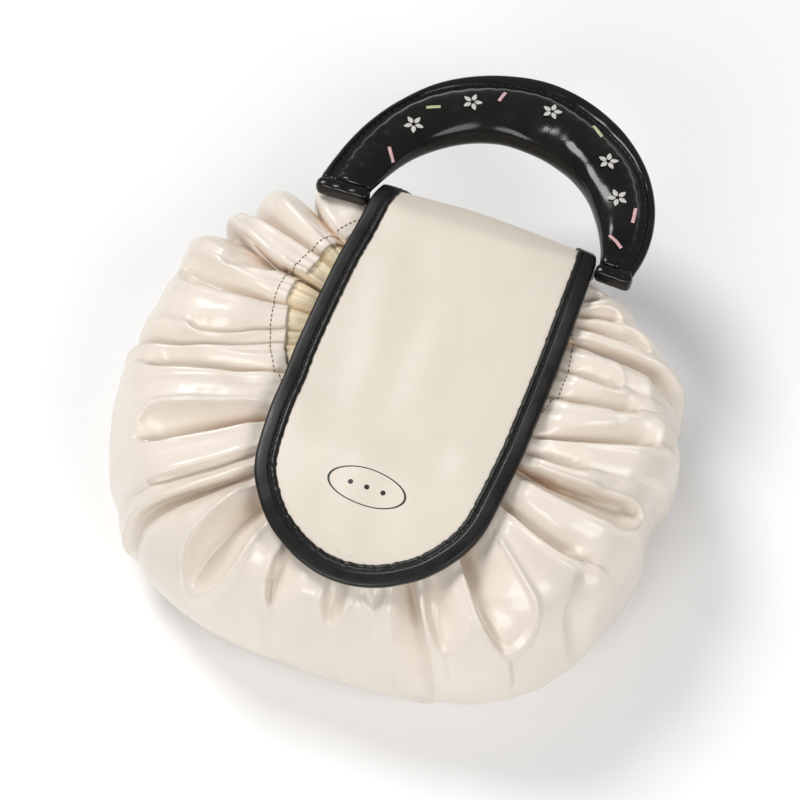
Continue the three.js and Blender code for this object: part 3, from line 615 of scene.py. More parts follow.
def body_form(sizes):
    """Folded wall of the body as a grid of rows up from the foot, with its unfolded normals"""
    following = np.roll(CREASES, -1, axis=0)
    following[-1, :3] += 360
    index = []
    phase = []
    for k in range(len(CREASES)):
        wide = following[k, 2] - CREASES[k, 2]
        count = max(12, round(wide * COLUMNS_PER_DEGREE / 2) * 2)
        if k == len(CREASES) - 1:
            count = COLUMNS_AT_BACK
        index += [k] * count
        phase += [n / count for n in range(count)]
    index = np.array(index)
    phase = np.array(phase)
    first = CREASES[index]
    second = following[index]
    rows = [k + s / n for k, n in enumerate(ROW_STEPS) for s in range(n)] + [len(ROW_STEPS)]
    places = []
    turned = []
    placed = []
    for row in rows:
        q = np.ones(len(index))
        for _ in range(8):
            left = crease_degree(first, q)
            right = crease_degree(second, q)
            degrees = mix(left, right, phase)
            q = np.clip(wall_ring(row, degrees)[:, 3], 0, 1)
        places.append(wall_ring(row, degrees))
        placed.append(degrees)
        turned.append(np.radians(right - left) * mix(mouth_radius(degrees), outline_radius(degrees), q))
    places = np.array(places)
    gap = np.array(turned)
    placed = np.array(placed)
    points = places[..., :3]
    travel = places[..., 3]
    around, normal = grid_normals(points)
    p = np.broadcast_to(phase, travel.shape)
    owner = np.broadcast_to(index, travel.shape)
    press, lip, slide, shadow = np.zeros((4,) + travel.shape)
    for k in range(len(CREASES)):
        column = index == k
        for d, side, crease in ((p * gap, 1, CREASES[k]), ((1 - p) * gap, -1, following[k])):
            one = crease_effect(d[:, column], side, travel[:, column], gap[:, column], crease, sizes)
            press[:, column] = np.maximum(press[:, column], one[0])
            lip[:, column] = np.maximum(lip[:, column], one[1])
            slide[:, column] += one[2]
            shadow[:, column] = np.maximum(shadow[:, column], one[3])
    press = np.maximum(press, minor_creases(p, owner, gap, travel, sizes.wrinkle_seed))
    press += dent_press(placed, travel)
    free = clear_of_flap(points)
    back = owner == len(CREASES) - 1
    ruffle = window_at(placed, *RUFFLE_WINDOW)
    puff = np.minimum(PUFF_LIMIT * gap, sizes.puff_height * MILLIMETRES) * np.sin(math.pi * p) ** 0.85
    puff *= mix(0.3, 1.0, ease(travel / 0.35)) * (1 - 0.9 * (1 - ruffle) * ease((travel - 0.72) / 0.25))
    puff *= (1 + RUFFLE_RISE * ruffle * ease((travel - 0.3) / 0.4)) * (1 - ease((travel - 1.04) / 0.16))
    puff = np.where(back, 0, puff)
    random = np.random.default_rng(sizes.wrinkle_seed + 1)
    shift = random.uniform(-1.8, 1.6, len(CREASES))[index]
    shift = shift + (phase - 0.5) * random.uniform(-2, 2, len(CREASES))[index]
    near_hem = np.exp(-(np.maximum(travel, 0) / HEM_REACH) ** 2)
    tab = np.where(back, 0, HEM_TAB * p * near_hem)
    draw = np.where(back, 0, shift[None] * near_hem)
    wave = sum(soft_noise(points, size, seed) * height for size, seed, height in BODY_WAVES)
    wave *= (1 - 0.6 * ease((travel - 0.75) / 0.2)) * (1 - ease((travel - 1.12) / 0.15))
    outward = (lip + puff + tab + np.maximum(wave, 0)) * free + np.minimum(wave, 0) - press
    folded = points + normal * outward[..., None] + around * slide[..., None]
    folded += unit((np.array([MOUTH_X, MOUTH_Y, 0]) - points) * (1, 1, 0)) * draw[..., None]
    folded[..., 2] = np.maximum(folded[..., 2], 0)
    return {"points": folded, "normal": normal, "travel": travel, "shadow": shadow}


def grid_faces(rows, columns, closed, offset=0, flip=False):
    """Faces of a grid of points, row after row; closed joins the last column to the first"""
    count = columns if closed else columns - 1
    j, i = np.meshgrid(np.arange(rows - 1), np.arange(count), indexing="ij")
    n = (i + 1) % columns
    quads = np.stack([j * columns + i, j * columns + n, (j + 1) * columns + n, (j + 1) * columns + i], -1)
    quads = quads.reshape(-1, 4) + offset
    return quads[:, ::-1] if flip else quads


def make_object(name, points, faces, material):
    """Object from millimetre points and faces, in place"""
    mesh = bpy.data.meshes.new(name)
    mesh.from_pydata((np.asarray(points) * METRES).tolist(), [], [list(map(int, face)) for face in faces])
    mesh.validate()
    mesh.update()
    obj = bpy.data.objects.new(name, mesh)
    bpy.context.scene.collection.objects.link(obj)
    mesh.materials.append(material)
    mesh.shade_smooth()
    return obj


def set_attribute(obj, name, values):
    layer = obj.data.attributes.new(name, "FLOAT", "POINT")
    layer.data.foreach_set("value", np.asarray(values, np.float32))


def finish_piece(obj, nodes=()):
    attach(obj, "root")
    if nodes:
        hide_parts(*nodes)


class Wire:
    """A shader socket that takes part in Python sums"""

    def __init__(self, finish, socket):
        self.finish = finish
        self.socket = socket

    def math(self, operation, first, second):
        node = self.finish.add("ShaderNodeMath", {"operation": operation}, {0: first, 1: second})
        return self.finish.wire(node, "Value")

    def __add__(self, other):
        return self.math("ADD", self, other)

    __radd__ = __add__

    def __sub__(self, other):
        return self.math("SUBTRACT", self, other)

    def __rsub__(self, other):
        return self.math("SUBTRACT", other, self)

    def __mul__(self, other):
        return self.math("MULTIPLY", self, other)

    __rmul__ = __mul__

    def __truediv__(self, other):
        return self.math("DIVIDE", self, other)

    def __pow__(self, other):
        return self.math("POWER", self, other)

    def __lt__(self, other):
        return self.math("LESS_THAN", self, other)

    def __gt__(self, other):
        return self.math("GREATER_THAN", self, other)


class Finish:
    """One procedural material"""

    def __init__(self, name):
        self.material = bpy.data.materials.new(name)
        self.material.use_nodes = True
        self.tree = self.material.node_tree
        self.shader = self.tree.nodes["Principled BSDF"]

    def plug(self, socket, value):
        if isinstance(value, Wire):
            self.tree.links.new(value.socket, socket)
        else:
            socket.default_value = value

    def add(self, kind, settings, values):
        node = self.tree.nodes.new(kind)
        for key, value in settings.items():
            setattr(node, key, value)
        for key, value in values.items():
            self.plug(node.inputs[key], value)
        return node

    def wire(self, node, name=0):
        return Wire(self, node.outputs[name])

    def place(self):
        return self.wire(self.add("ShaderNodeTexCoord", {}, {}), "Object")

    def own(self, name):
        return self.wire(self.add("ShaderNodeAttribute", {"attribute_name": name}, {}), "Fac")

    def noise(self, scale, detail=3.0):
        values = {"Vector": self.place(), "Scale": scale, "Detail": detail}
        return self.wire(self.add("ShaderNodeTexNoise", {}, values), "Fac")

    def cells(self, scale):
        values = {"Vector": self.place(), "Scale": scale}
        return self.wire(self.add("ShaderNodeTexVoronoi", {"feature": "F1"}, values), "Distance")

    def tint(self, factor, first, second):
        values = {"Factor": factor, 6: first, 7: second}
        node = self.add("ShaderNodeMix", {"data_type": "RGBA"}, values)
        return Wire(self, node.outputs[2])

    def range(self, value, low, high, from_low=0.0, from_high=1.0):
        values = {"Value": value, "From Min": from_low, "From Max": from_high, "To Min": low, "To Max": high}
        return self.wire(self.add("ShaderNodeMapRange", {}, values), "Result")

    def clouded(self, cloud, colour, factor, low=0.3, high=0.7):
        """Colour that turns to factor times itself as the cloud grows"""
        return self.tint(self.range(cloud, 0.0, 1.0, low, high), shade(colour), shade(colour, factor))

    def bump(self, height, strength, distance):
        values = {"Height": height, "Strength": strength, "Distance": distance}
        return self.wire(self.add("ShaderNodeBump", {}, values), "Normal")

    def surface(self, **values):
        for name, value in values.items():
            self.plug(self.shader.inputs[name.replace("_", " ")], value)
        return self.material


def shade(colour, factor=1.0):
    return tuple(min(c * factor, 1.0) for c in colour) + (1.0,)


def cream_leather(colours):
    """Smooth cream leather: fine grain, soft colour changes, and a painted brown shade in the deep creases
    """
    finish = Finish("cream_grained_leather")
    grain = finish.cells(850) * 0.6 + finish.noise(1900, 2.0) * 0.5
    base = finish.clouded(finish.noise(22, 2.0), colours.cream, 0.93)
    # Painted shade: the fold attribute holds each crease's shadow strength, and the cream turns a shaded
    # brown where it is high
    fold = finish.own("fold")
    base = finish.tint(finish.range(fold, 0.0, 0.85, 0.25, 1.0), base, shade((0.58, 0.38, 0.24)))
    rough = finish.range(finish.noise(160, 3.0), 0.28, 0.4, 0.3, 0.7)
    bump = finish.bump(grain, 0.16, 0.0002)
    return finish.surface(
        Base_Color=base, Roughness=rough, Normal=bump, Specular_IOR_Level=0.45, Coat_Weight=0.35,
        Coat_Roughness=0.13)


def flap_leather(colours):
    """Warmer cream leather of the flap with a small printed oval of dots"""
    finish = Finish("warm_cream_leather")
    grain = finish.cells(900) * 0.6 + finish.noise(2000, 2.0) * 0.5
    base = finish.clouded(finish.noise(18, 2.0), colours.flap_cream, 0.94)
    place = finish.add("ShaderNodeSeparateXYZ", {}, {0: finish.place()})
    x = (finish.wire(place, "X") - 0.003) / 0.0165
    y = (finish.wire(place, "Y") + 0.048) / 0.0078
    ring = (x * x + y * y) ** 0.5
    line = (ring > 0.94) * (ring < 1.0)
    row = x * 2.4
    nearest = finish.wire(finish.add("ShaderNodeMath", {"operation": "ROUND"}, {0: row}))
    across = row - nearest
    dot = ((across * across * 1.2 + y * y * 1.6) < 0.03) * (nearest * nearest < 1.5)
    ink = (line + dot) * finish.own("face_up")
    base = finish.tint(ink, base, (0.02, 0.018, 0.016, 1.0))
    rough = finish.range(finish.noise(150, 3.0), 0.33, 0.45, 0.3, 0.7)
    bump = finish.bump(grain, 0.16, 0.0002)
    return finish.surface(Base_Color=base, Roughness=rough, Normal=bump, Specular_IOR_Level=0.5)


def black_leather(name, colours, low, high, gloss):
    """Black leather with fine grain, uneven gloss and slightly lighter patches at random"""
    finish = Finish(name)
    grain = finish.cells(1000) * 0.5 + finish.noise(420, 3.0) * 0.6
    base = finish.clouded(finish.noise(60), colours.black, 2.2, 0.35, 0.75)
    rough = finish.range(finish.noise(120, 4.0), low, high, 0.3, 0.7)
    bump = finish.bump(grain, 0.12, 0.0002)
    return finish.surface(Base_Color=base, Roughness=rough, Normal=bump, Specular_IOR_Level=gloss)


def lining_cloth(colours):
    """Pale yellow woven lining on its own thread directions"""
    finish = Finish("pale_yellow_weave")
    uv = finish.wire(finish.add("ShaderNodeUVMap", {"uv_map": "thread"}, {}), "UV")
    parts = finish.add("ShaderNodeSeparateXYZ", {}, {0: uv})
    waves = []
    for axis in ("X", "Y"):
        turn = finish.wire(parts, axis) * (2 * math.pi / LINING_THREAD)
        waves.append(finish.wire(finish.add("ShaderNodeMath", {"operation": "SINE"}, {0: turn})))
    weave = waves[0] * waves[1] * 0.5 + 0.5
    base = finish.clouded(finish.noise(45), colours.lining, 0.86)
    base = finish.tint(weave * 0.15, base, shade(colours.lining, 0.75))
    bump = finish.bump(weave, 0.3, 0.0002)
    rough = finish.range(finish.noise(300, 2.0), 0.65, 0.8)
    return finish.surface(Base_Color=base, Roughness=rough, Normal=bump, Sheen_Weight=0.2)


def thread(name, colour):
    """Twisted thread: lighter and darker along its turns"""
    finish = Finish(name)
    strand = finish.noise(2600, 2.0)
    base = finish.clouded(strand, colour, 0.6)
    rough = finish.range(strand, 0.45, 0.65)
    return finish.surface(Base_Color=base, Roughness=rough, Normal=finish.bump(strand, 0.3, 0.0002))


def stitch_shape(length, width, height):
    """One stitch: a small bar with rounded edges, modelled once"""
    bpy.ops.object.select_all(action="DESELECT")
    bpy.ops.mesh.primitive_cube_add(size=1, location=(0, 0, 0))
    pattern = bpy.context.active_object
    bpy.ops.object.mode_set(mode="EDIT")
    bpy.ops.mesh.select_all(action="SELECT")
    bpy.ops.transform.resize(value=(length, width, height))
    bpy.ops.mesh.bevel(offset=min(width, height) * 0.3, segments=1, affect="EDGES")
    bpy.ops.object.mode_set(mode="OBJECT")
    points = np.array([v.co[:] for v in pattern.data.vertices])
    faces = [list(face.vertices) for face in pattern.data.polygons]
    bpy.data.objects.remove(pattern, do_unlink=True)
    return points, faces


def lay_threads(name, threads, width, height, material):
    """One mesh of thread bars, each a copy of one small bar: spot, direction, up and length"""
    shape, shape_faces = stitch_shape(1, width, height)
    points = []
    faces = []
    for spot, along, up, length in threads:
        along = unit(along)
        across = unit(np.cross(up, along))
        up = np.cross(along, across)
        faces += [[v + len(points) * len(shape) for v in face] for face in shape_faces]
        points.append(spot + shape[:, :1] * length * along + shape[:, 1:2] * across + shape[:, 2:] * up)
    return make_object(name, np.concatenate(points), faces, material)


def plain_stitch(sizes):
    """Width, height, length and pitch of the stitches on the binding and the handle"""
    return (*STITCH_SECTION, sizes.stitch_length * MILLIMETRES, sizes.stitch_pitch * MILLIMETRES)


def stitch_row(name, line, normals, material, width, height, length, pitch, closed=False):
    """Stitches along a line of points"""
    if closed:
        line = np.concatenate([line, line[:1]])
        normals = np.concatenate([normals, normals[:1]])
    run = run_along(line)
    count = int(run[-1] / pitch)

    def at(place, values):
        return np.array([np.interp(place, run, values[:, c]) for c in range(3)])

    threads = []
    for n in range(count):
        place = (n + 0.5) * run[-1] / count
        along = at(place + length / 2, line) - at(place - length / 2, line)
        threads.append((at(place, line), along, at(place, normals), length))
    return lay_threads(name, threads, width, height, material)


class BAG_OT_body(bpy.types.Operator):
    """Build the gathered leather body with its hem"""

    bl_idname = "bag.body"
    bl_label = "Gathered body"

    def execute(self, context):
        sizes = context.scene.bag_sizes
        colours = context.scene.bag_colours
        form = body_form(sizes)
        outer = form["points"]
        normal = form["normal"]
        wall = sizes.leather_wall * MILLIMETRES
        rows, columns = outer.shape[:2]
        centre = np.array([MOUTH_X, MOUTH_Y, 0])
        toward = unit((centre - outer[-1]) * (1, 1, 0))
        curl = outer[-1] + toward * 0.9 - normal[-1] * wall * 0.45
        under = [outer[0] * (share, share, 0) for share in (0.25, 0.5, 0.75)]
        points = list(np.concatenate([np.concatenate(under), outer.reshape(-1, 3), curl]))
        full = rows + 4
        faces = list(grid_faces(full, columns, True))
        points.append(np.zeros(3))
        faces += [(i, len(points) - 1, (i + 1) % columns) for i in range(columns)]
        inside = outer[::-4, ::2] - normal[::-4, ::2] * wall
        inside[..., 2] = np.maximum(inside[..., 2], wall)
        floor_rings = [inside[-1] * (share, share, 1) for share in (0.66, 0.33)]
        inner = np.concatenate([inside.reshape(-1, 3)] + floor_rings)
        start = len(points)
        points += list(inner)
        half = columns // 2
        inner_rows = len(inside) + 2
        faces += list(grid_faces(inner_rows, half, True, start))
        points.append(np.array([0, 0, wall]))
        last = start + (inner_rows - 1) * half
        faces += [(last + i, last + (i + 1) % half, len(points) - 1) for i in range(half)]
        edge = (full - 1) * columns
        for i in range(half):
            a, b, c = edge + 2 * i, edge + 2 * i + 1, edge + (2 * i + 2) % columns
            d, e = start + i, start + (i + 1) % half
            faces += [(a, b, d), (b, e, d), (b, c, e)]
        obj = make_object("gathered_body", np.array(points), faces, cream_leather(colours))
        # Painted shade: the creases' shadow strength, kept in the fold attribute, which the cream leather
        # turns a shaded brown
        fold = np.zeros(len(points))
        fold[3 * columns:(3 + rows) * columns] = np.clip(form["shadow"] / 8, 0, 1).reshape(-1)
        set_attribute(obj, "fold", fold)
        finish_piece(obj, ["bag_body"])
        steps = np.linalg.norm(np.diff(outer[::-1].mean(1), axis=0), axis=1)
        row = rows - 1 - int(np.searchsorted(np.cumsum(steps), HEM_SEAM_AT))
        seam = outer[row] + normal[row] * 0.1
        brown = thread("brown_hem_thread", colours.hem_thread)
        stitches = stitch_row("hem_stitches", seam, normal[row], brown, *HEM_STITCH, closed=True)
        finish_piece(stitches)
        return {"FINISHED"}


class BAG_OT_lining(bpy.types.Operator):
    """Build the fluted lining collar inside the mouth"""

    bl_idname = "bag.lining"
    bl_label = "Lining collar"

    def execute(self, context):
        sizes = context.scene.bag_sizes
        form = body_form(sizes)
        wall = sizes.leather_wall * MILLIMETRES
        drop = wall + LINING_GAP
        rings = [form["points"][k] - form["normal"][k] * drop for k in (-7, -4, -1)]
        start = rings[-1]
        centre = np.array([MOUTH_X, MOUTH_Y, 0.0])
        toward = unit((centre - start) * (1, 1, 0))
        angle = np.unwrap(np.arctan2(start[:, 1] - MOUTH_Y, start[:, 0] - MOUTH_X))
        jitter = 0.9 * np.sin(3 * angle + 1) + 0.7 * np.sin(7 * angle + 2) + 0.5 * np.sin(12 * angle)
        flute = 0.5 - 0.5 * np.cos(LINING_FLUTES * angle + jitter)
        for inward, fall in refine(np.array(LINING_COURSE), 4)[1:]:
            ring = start + toward * LINING_REACH * inward
            ring[:, 2] = start[:, 2] - LINING_DROP * fall
            ring[:, 2] -= LINING_FLUTE_DEPTH * flute * ease(inward * 2.2) * (0.8 + 0.2 * np.sin(5 * angle))
            ring += toward * (soft_noise(ring, 14, 9) * 0.3)[:, None]
            rings.append(ring)
        upper = np.array(rings)
        _, normal = grid_normals(upper)
        lower = upper - normal * LINING_WALL
        count, columns = upper.shape[:2]
        points = np.concatenate([upper.reshape(-1, 3), lower.reshape(-1, 3)])
        faces = list(grid_faces(count, columns, True))
        faces += list(grid_faces(count, columns, True, count * columns, True))
        for ring, flip in ((0, True), (count - 1, False)):
            top = ring * columns + np.arange(columns)
            low = top + count * columns
            side = np.stack([top, np.roll(top, -1), np.roll(low, -1), low], -1)
            faces += list(side[:, ::-1] if flip else side)
        obj = make_object("lining_collar", points, faces, lining_cloth(context.scene.bag_colours))
        layer = obj.data.uv_layers.new(name="thread")
        steps = np.linalg.norm(np.diff(upper, axis=0), axis=2).mean(1)
        reach = np.concatenate([[0], np.cumsum(steps)]) * METRES
        turn = angle * LINING_ROUND
        uv = np.stack(np.broadcast_arrays(turn[None], reach[:, None]), -1).reshape(-1, 2)
        uv = np.concatenate([uv, uv])
        index = np.empty(len(obj.data.loops), np.int32)
        obj.data.loops.foreach_get("vertex_index", index)
        layer.data.foreach_set("uv", uv[index].astype(np.float32).reshape(-1))
        finish_piece(obj, ["mouth_lining"])
        return {"FINISHED"}


def in_from_edge(edge, distance):
    """Point at a distance in from an edge frame's point, and its normal"""
    return np.concatenate([edge[:3] + edge[3:6] * distance, edge[6:9]])


def flap_rungs():
    """Middle surface of the flap panel at the coarse stations, with normals"""
    left = edge_frames(-1)
    right = edge_frames(1)
    stations = flap_stations()
    rungs = []
    for k, (level, _, _) in enumerate(stations[:-1]):
        row = [in_from_edge(left[k], u) for u in (PANEL_SETBACK, PANEL_INSET)]
        t = np.arange(1, 8) / 8
        x = mix(left[k][9], right[k][9], t)
        y = mix(left[k][10], right[k][10], t)
        point, normal = flap_place(x, y, level)
        row += list(np.concatenate([point, normal], -1))
        row += [in_from_edge(right[k], u) for u in (PANEL_INSET, PANEL_SETBACK)]
        rungs.append(row)
    ends = [in_from_edge(left[-1], u) for u in (PANEL_SETBACK, PANEL_INSET)]
    rungs.append([ends[0]] + [ends[1]] * 9 + [ends[0]])
    return np.array(rungs)


def fold_shares(count):
    """How far each span between stations is drawn straight, most at the fold"""
    shares = np.zeros(count - 1)
    fold = len(FLAP_TAIL) - 1
    shares[fold - 1:fold + 2] = FOLD_CHORDS
    return shares


class BAG_OT_flap(bpy.types.Operator):
    """Build the cream flap panel"""

    bl_idname = "bag.flap"
    bl_label = "Flap panel"

    def execute(self, context):
        rungs = flap_rungs()
        fine = refine(rungs, 6, None, rungs[-2][::-1], fold_shares(len(rungs)))
        fine = np.swapaxes(refine(np.swapaxes(fine, 0, 1), 4), 0, 1)
        middle = fine[..., :3]
        normal = unit(fine[..., 3:])
        rows, columns = middle.shape[:2]
        across = np.linspace(-1, 1, columns)
        inside = 1 - np.abs(across) ** 3
        wave = 0.3 * np.sin(middle[..., 1] / 13 + 0.04 * middle[..., 0]) + soft_noise(middle, 36, 21) * 0.3
        wave += soft_noise(middle * (1, 0.28, 0.28), 17, 22) * 0.4
        wave *= ease((FOLD_Y - middle[..., 1]) / 30)
        lift = (wave * 0.6 + 0.3) * inside * ease(np.arange(rows)[::-1] / 20)[:, None]
        half = FLAP_WALL / 2
        top = middle + normal * (half + lift)[..., None]
        low = middle - normal * half
        points = np.concatenate([top.reshape(-1, 3), low.reshape(-1, 3)])
        faces = list(grid_faces(rows, columns, False, 0, True))
        faces += list(grid_faces(rows, columns, False, rows * columns))
        size = rows * columns
        first = np.arange(rows) * columns
        rim = [*first, *(first + columns - 1)[::-1], *range(columns - 2, 0, -1)]
        for n, a in enumerate(rim):
            b = rim[(n + 1) % len(rim)]
            faces.append((a, a + size, b + size, b))
        obj = make_object("flap_leather_panel", points, faces, flap_leather(context.scene.bag_colours))
        face_up = np.concatenate([np.ones(size), np.zeros(size)])
        set_attribute(obj, "face_up", face_up)
        tidy_mesh(obj)
        finish_piece(obj, ["flap_panel"])
        return {"FINISHED"}


def tidy_mesh(obj):
    """Merge doubled points and point all faces outward"""
    bpy.ops.object.select_all(action="DESELECT")
    obj.select_set(True)
    bpy.context.view_layer.objects.active = obj
    bpy.ops.object.mode_set(mode="EDIT")
    bpy.ops.mesh.select_all(action="SELECT")
    bpy.ops.mesh.remove_doubles(threshold=0.00001)
    bpy.ops.mesh.dissolve_degenerate(threshold=0.00001)
    bpy.ops.mesh.normals_make_consistent(inside=False)
    bpy.ops.object.mode_set(mode="OBJECT")
    obj.select_set(False)


def sweep(name, rings, material):
    """Closed tube through equal rings with capped ends"""
    rings = np.asarray(rings)
    count, columns = rings.shape[:2]
    points = rings.reshape(-1, 3)
    faces = [list(face) for face in grid_faces(count, columns, True)]
    faces.append(list(range(columns))[::-1])
    faces.append([(count - 1) * columns + i for i in range(columns)])
    obj = make_object(name, points, faces, material)
    tidy_mesh(obj)
    return obj


def binding_frames():
    left = edge_frames(-1)[:, :9]
    right = edge_frames(1)[:, :9]
    shares = fold_shares(len(left))
    both = np.concatenate([left, right[:-1][::-1]])
    frames = refine(both, 10, None, None, np.concatenate([shares, shares[::-1]]))
    frames[:, 3:6] = unit(frames[:, 3:6])
    frames[:, 6:9] = unit(frames[:, 6:9])
    return frames


class BAG_OT_binding(bpy.types.Operator):
    """Build the black binding round the flap with its stitch row"""

    bl_idname = "bag.binding"
    bl_label = "Flap binding"

    def execute(self, context):
        sizes = context.scene.bag_sizes
        colours = context.scene.bag_colours
        frames = binding_frames()
        slot = FLAP_WALL / 2 + PIECE_GAP
        half = BINDING_HALF
        width = BINDING_WIDTH
        run = run_along(frames[:, :3])
        random = np.random.default_rng(sizes.wrinkle_seed)
        pucker = sum(np.sin(run * 2 * math.pi / size + random.uniform(0, 6)) for size in (3.6, 5.1, 7.3)) / 3
        rings = []
        for k, row in enumerate(frames):
            edge, inward, normal = row[:3], row[3:6], row[6:9]
            p = pucker[k]
            section = [
                (width + 0.25 * p, slot), (width - 0.2 + 0.2 * p, half - 0.6 + 0.12 * p),
                (width - 0.6 + 0.1 * p, half - 0.2 + 0.2 * p), (width - 1.2, half - 0.05 + 0.22 * p),
                (width - 2.0, half - 0.1 + 0.14 * p), (width - 2.4, half - 0.4),
                (width - BINDING_SEAM, half - 0.5), (width - 3.0, half - 0.3), (width - 3.3, half + 0.02),
                (width - 4.0, half + 0.08), (2.6, half + 0.1), (1.5, half + 0.06), (0.9, half - 0.04),
                (0.45, half - 0.3), (0.15, half - 0.8), (0.05, 0.6), (0.05, -0.6), (0.2, 0.9 - half),
                (0.6, 0.3 - half), (1.3, 0.06 - half), (2.6, -half), (width, -half), (width, -slot),
                (BINDING_BACK, -slot), (BINDING_BACK, slot),
            ]
            rings.append([edge + inward * u + normal * v for u, v in section])
        obj = sweep("flap_bound_edge", rings, black_leather("satin_black_leather", colours, 0.3, 0.42, 0.35))
        finish_piece(obj, ["flap_binding"])
        keep = slice(4, -4)
        seam = frames[:, :3] + frames[:, 3:6] * (width - BINDING_SEAM) + frames[:, 6:9] * (half - 0.3)
        black = thread("black_thread", colours.black)
        size = plain_stitch(sizes)
        stitches = stitch_row("binding_stitches", seam[keep], frames[keep, 6:9], black, *size)
        finish_piece(stitches)
        return {"FINISHED"}


def handle_sizes(degrees):
    inner, band, rim, pad = [smooth_row(HANDLE, degrees, c) for c in (1, 2, 3, 4)]
    seam = HANDLE_INSIDE * inner + HANDLE_BAND * band
    return HANDLE_INSIDE * inner, seam, seam + HANDLE_RIM * rim, HANDLE_PAD_HALF * pad


def polar(radius, degrees, z):
    angle = np.radians(degrees)
    x = HANDLE_X + radius * np.cos(angle)
    y = HANDLE_Y + radius * np.sin(angle)
    return np.stack(np.broadcast_arrays(x, y, z), -1)


def end_roll_axis(degrees, away):
    """Inner and outer radius, directions and middle of one end roll"""
    inner, _, outer, _ = handle_sizes(degrees)
    angle = math.radians(degrees)
    out = np.array([math.cos(angle), math.sin(angle), 0])
    along = np.array([-math.sin(angle), math.cos(angle), 0]) * away
    middle = np.array([HANDLE_X, HANDLE_Y, 0.0]) + along * (PIECE_GAP + END_ROLL_WIDTH / 2)
    return inner - END_ROLL_OVER, outer + END_ROLL_OVER, out, along, middle


END_AXES = [end_roll_axis(HANDLE[0][0], -1), end_roll_axis(HANDLE[-1][0], 1)]


def handle_end_height():
    heights = []
    for inner, outer, out, along, middle in END_AXES:
        for t in (0, 0.25, 0.5, 0.75, 1):
            for side in (-1, 1):
                at = middle + out * mix(inner, outer, t) + along * side * END_ROLL_WIDTH / 2
                heights.append(float(base_height(np.array([at[0]]), np.array([at[1]]))[0]))
    return HANDLE_PAD_HALF * HANDLE[0][4] + END_ROLL_OVER + PIECE_GAP + max(heights)


def handle_level(degrees):
    return handle_end_height() - HANDLE_DROP * np.maximum(np.sin(np.radians(degrees)), 0) ** HANDLE_SAG


def pad_point(degree, share):
    """Point just above the padding's upper side, share from -1 at the inner edge to 1 at the seam"""
    inner, seam, _, pad = handle_sizes(np.array([float(degree)]))
    thick = pad * (1 - min(abs(share), 0.99) ** (2 / PAD_ACROSS_POWER)) ** (PAD_THICK_POWER / 2)
    radius = mix(inner, seam, 0.5 + 0.5 * share)
    return polar(radius, float(degree), handle_level(float(degree)) + thick + THREAD_LIFT)[0]


def satin(points, span):
    """Threads side by side along a short line of points, each across the line, span long"""
    threads = []
    for part, (first, last) in enumerate(zip(points, points[1:])):
        line = last - first
        across = unit(np.cross((0, 0, 1), line))
        up = np.cross(unit(line), across)
        count = max(int(np.linalg.norm(line) / THREAD_WIDTH), 2)
        for n in range(count):
            t = (n + 0.5) / count
            threads.append((mix(first, last, t), across, up, span((part + t) / (len(points) - 1))))
    return threads


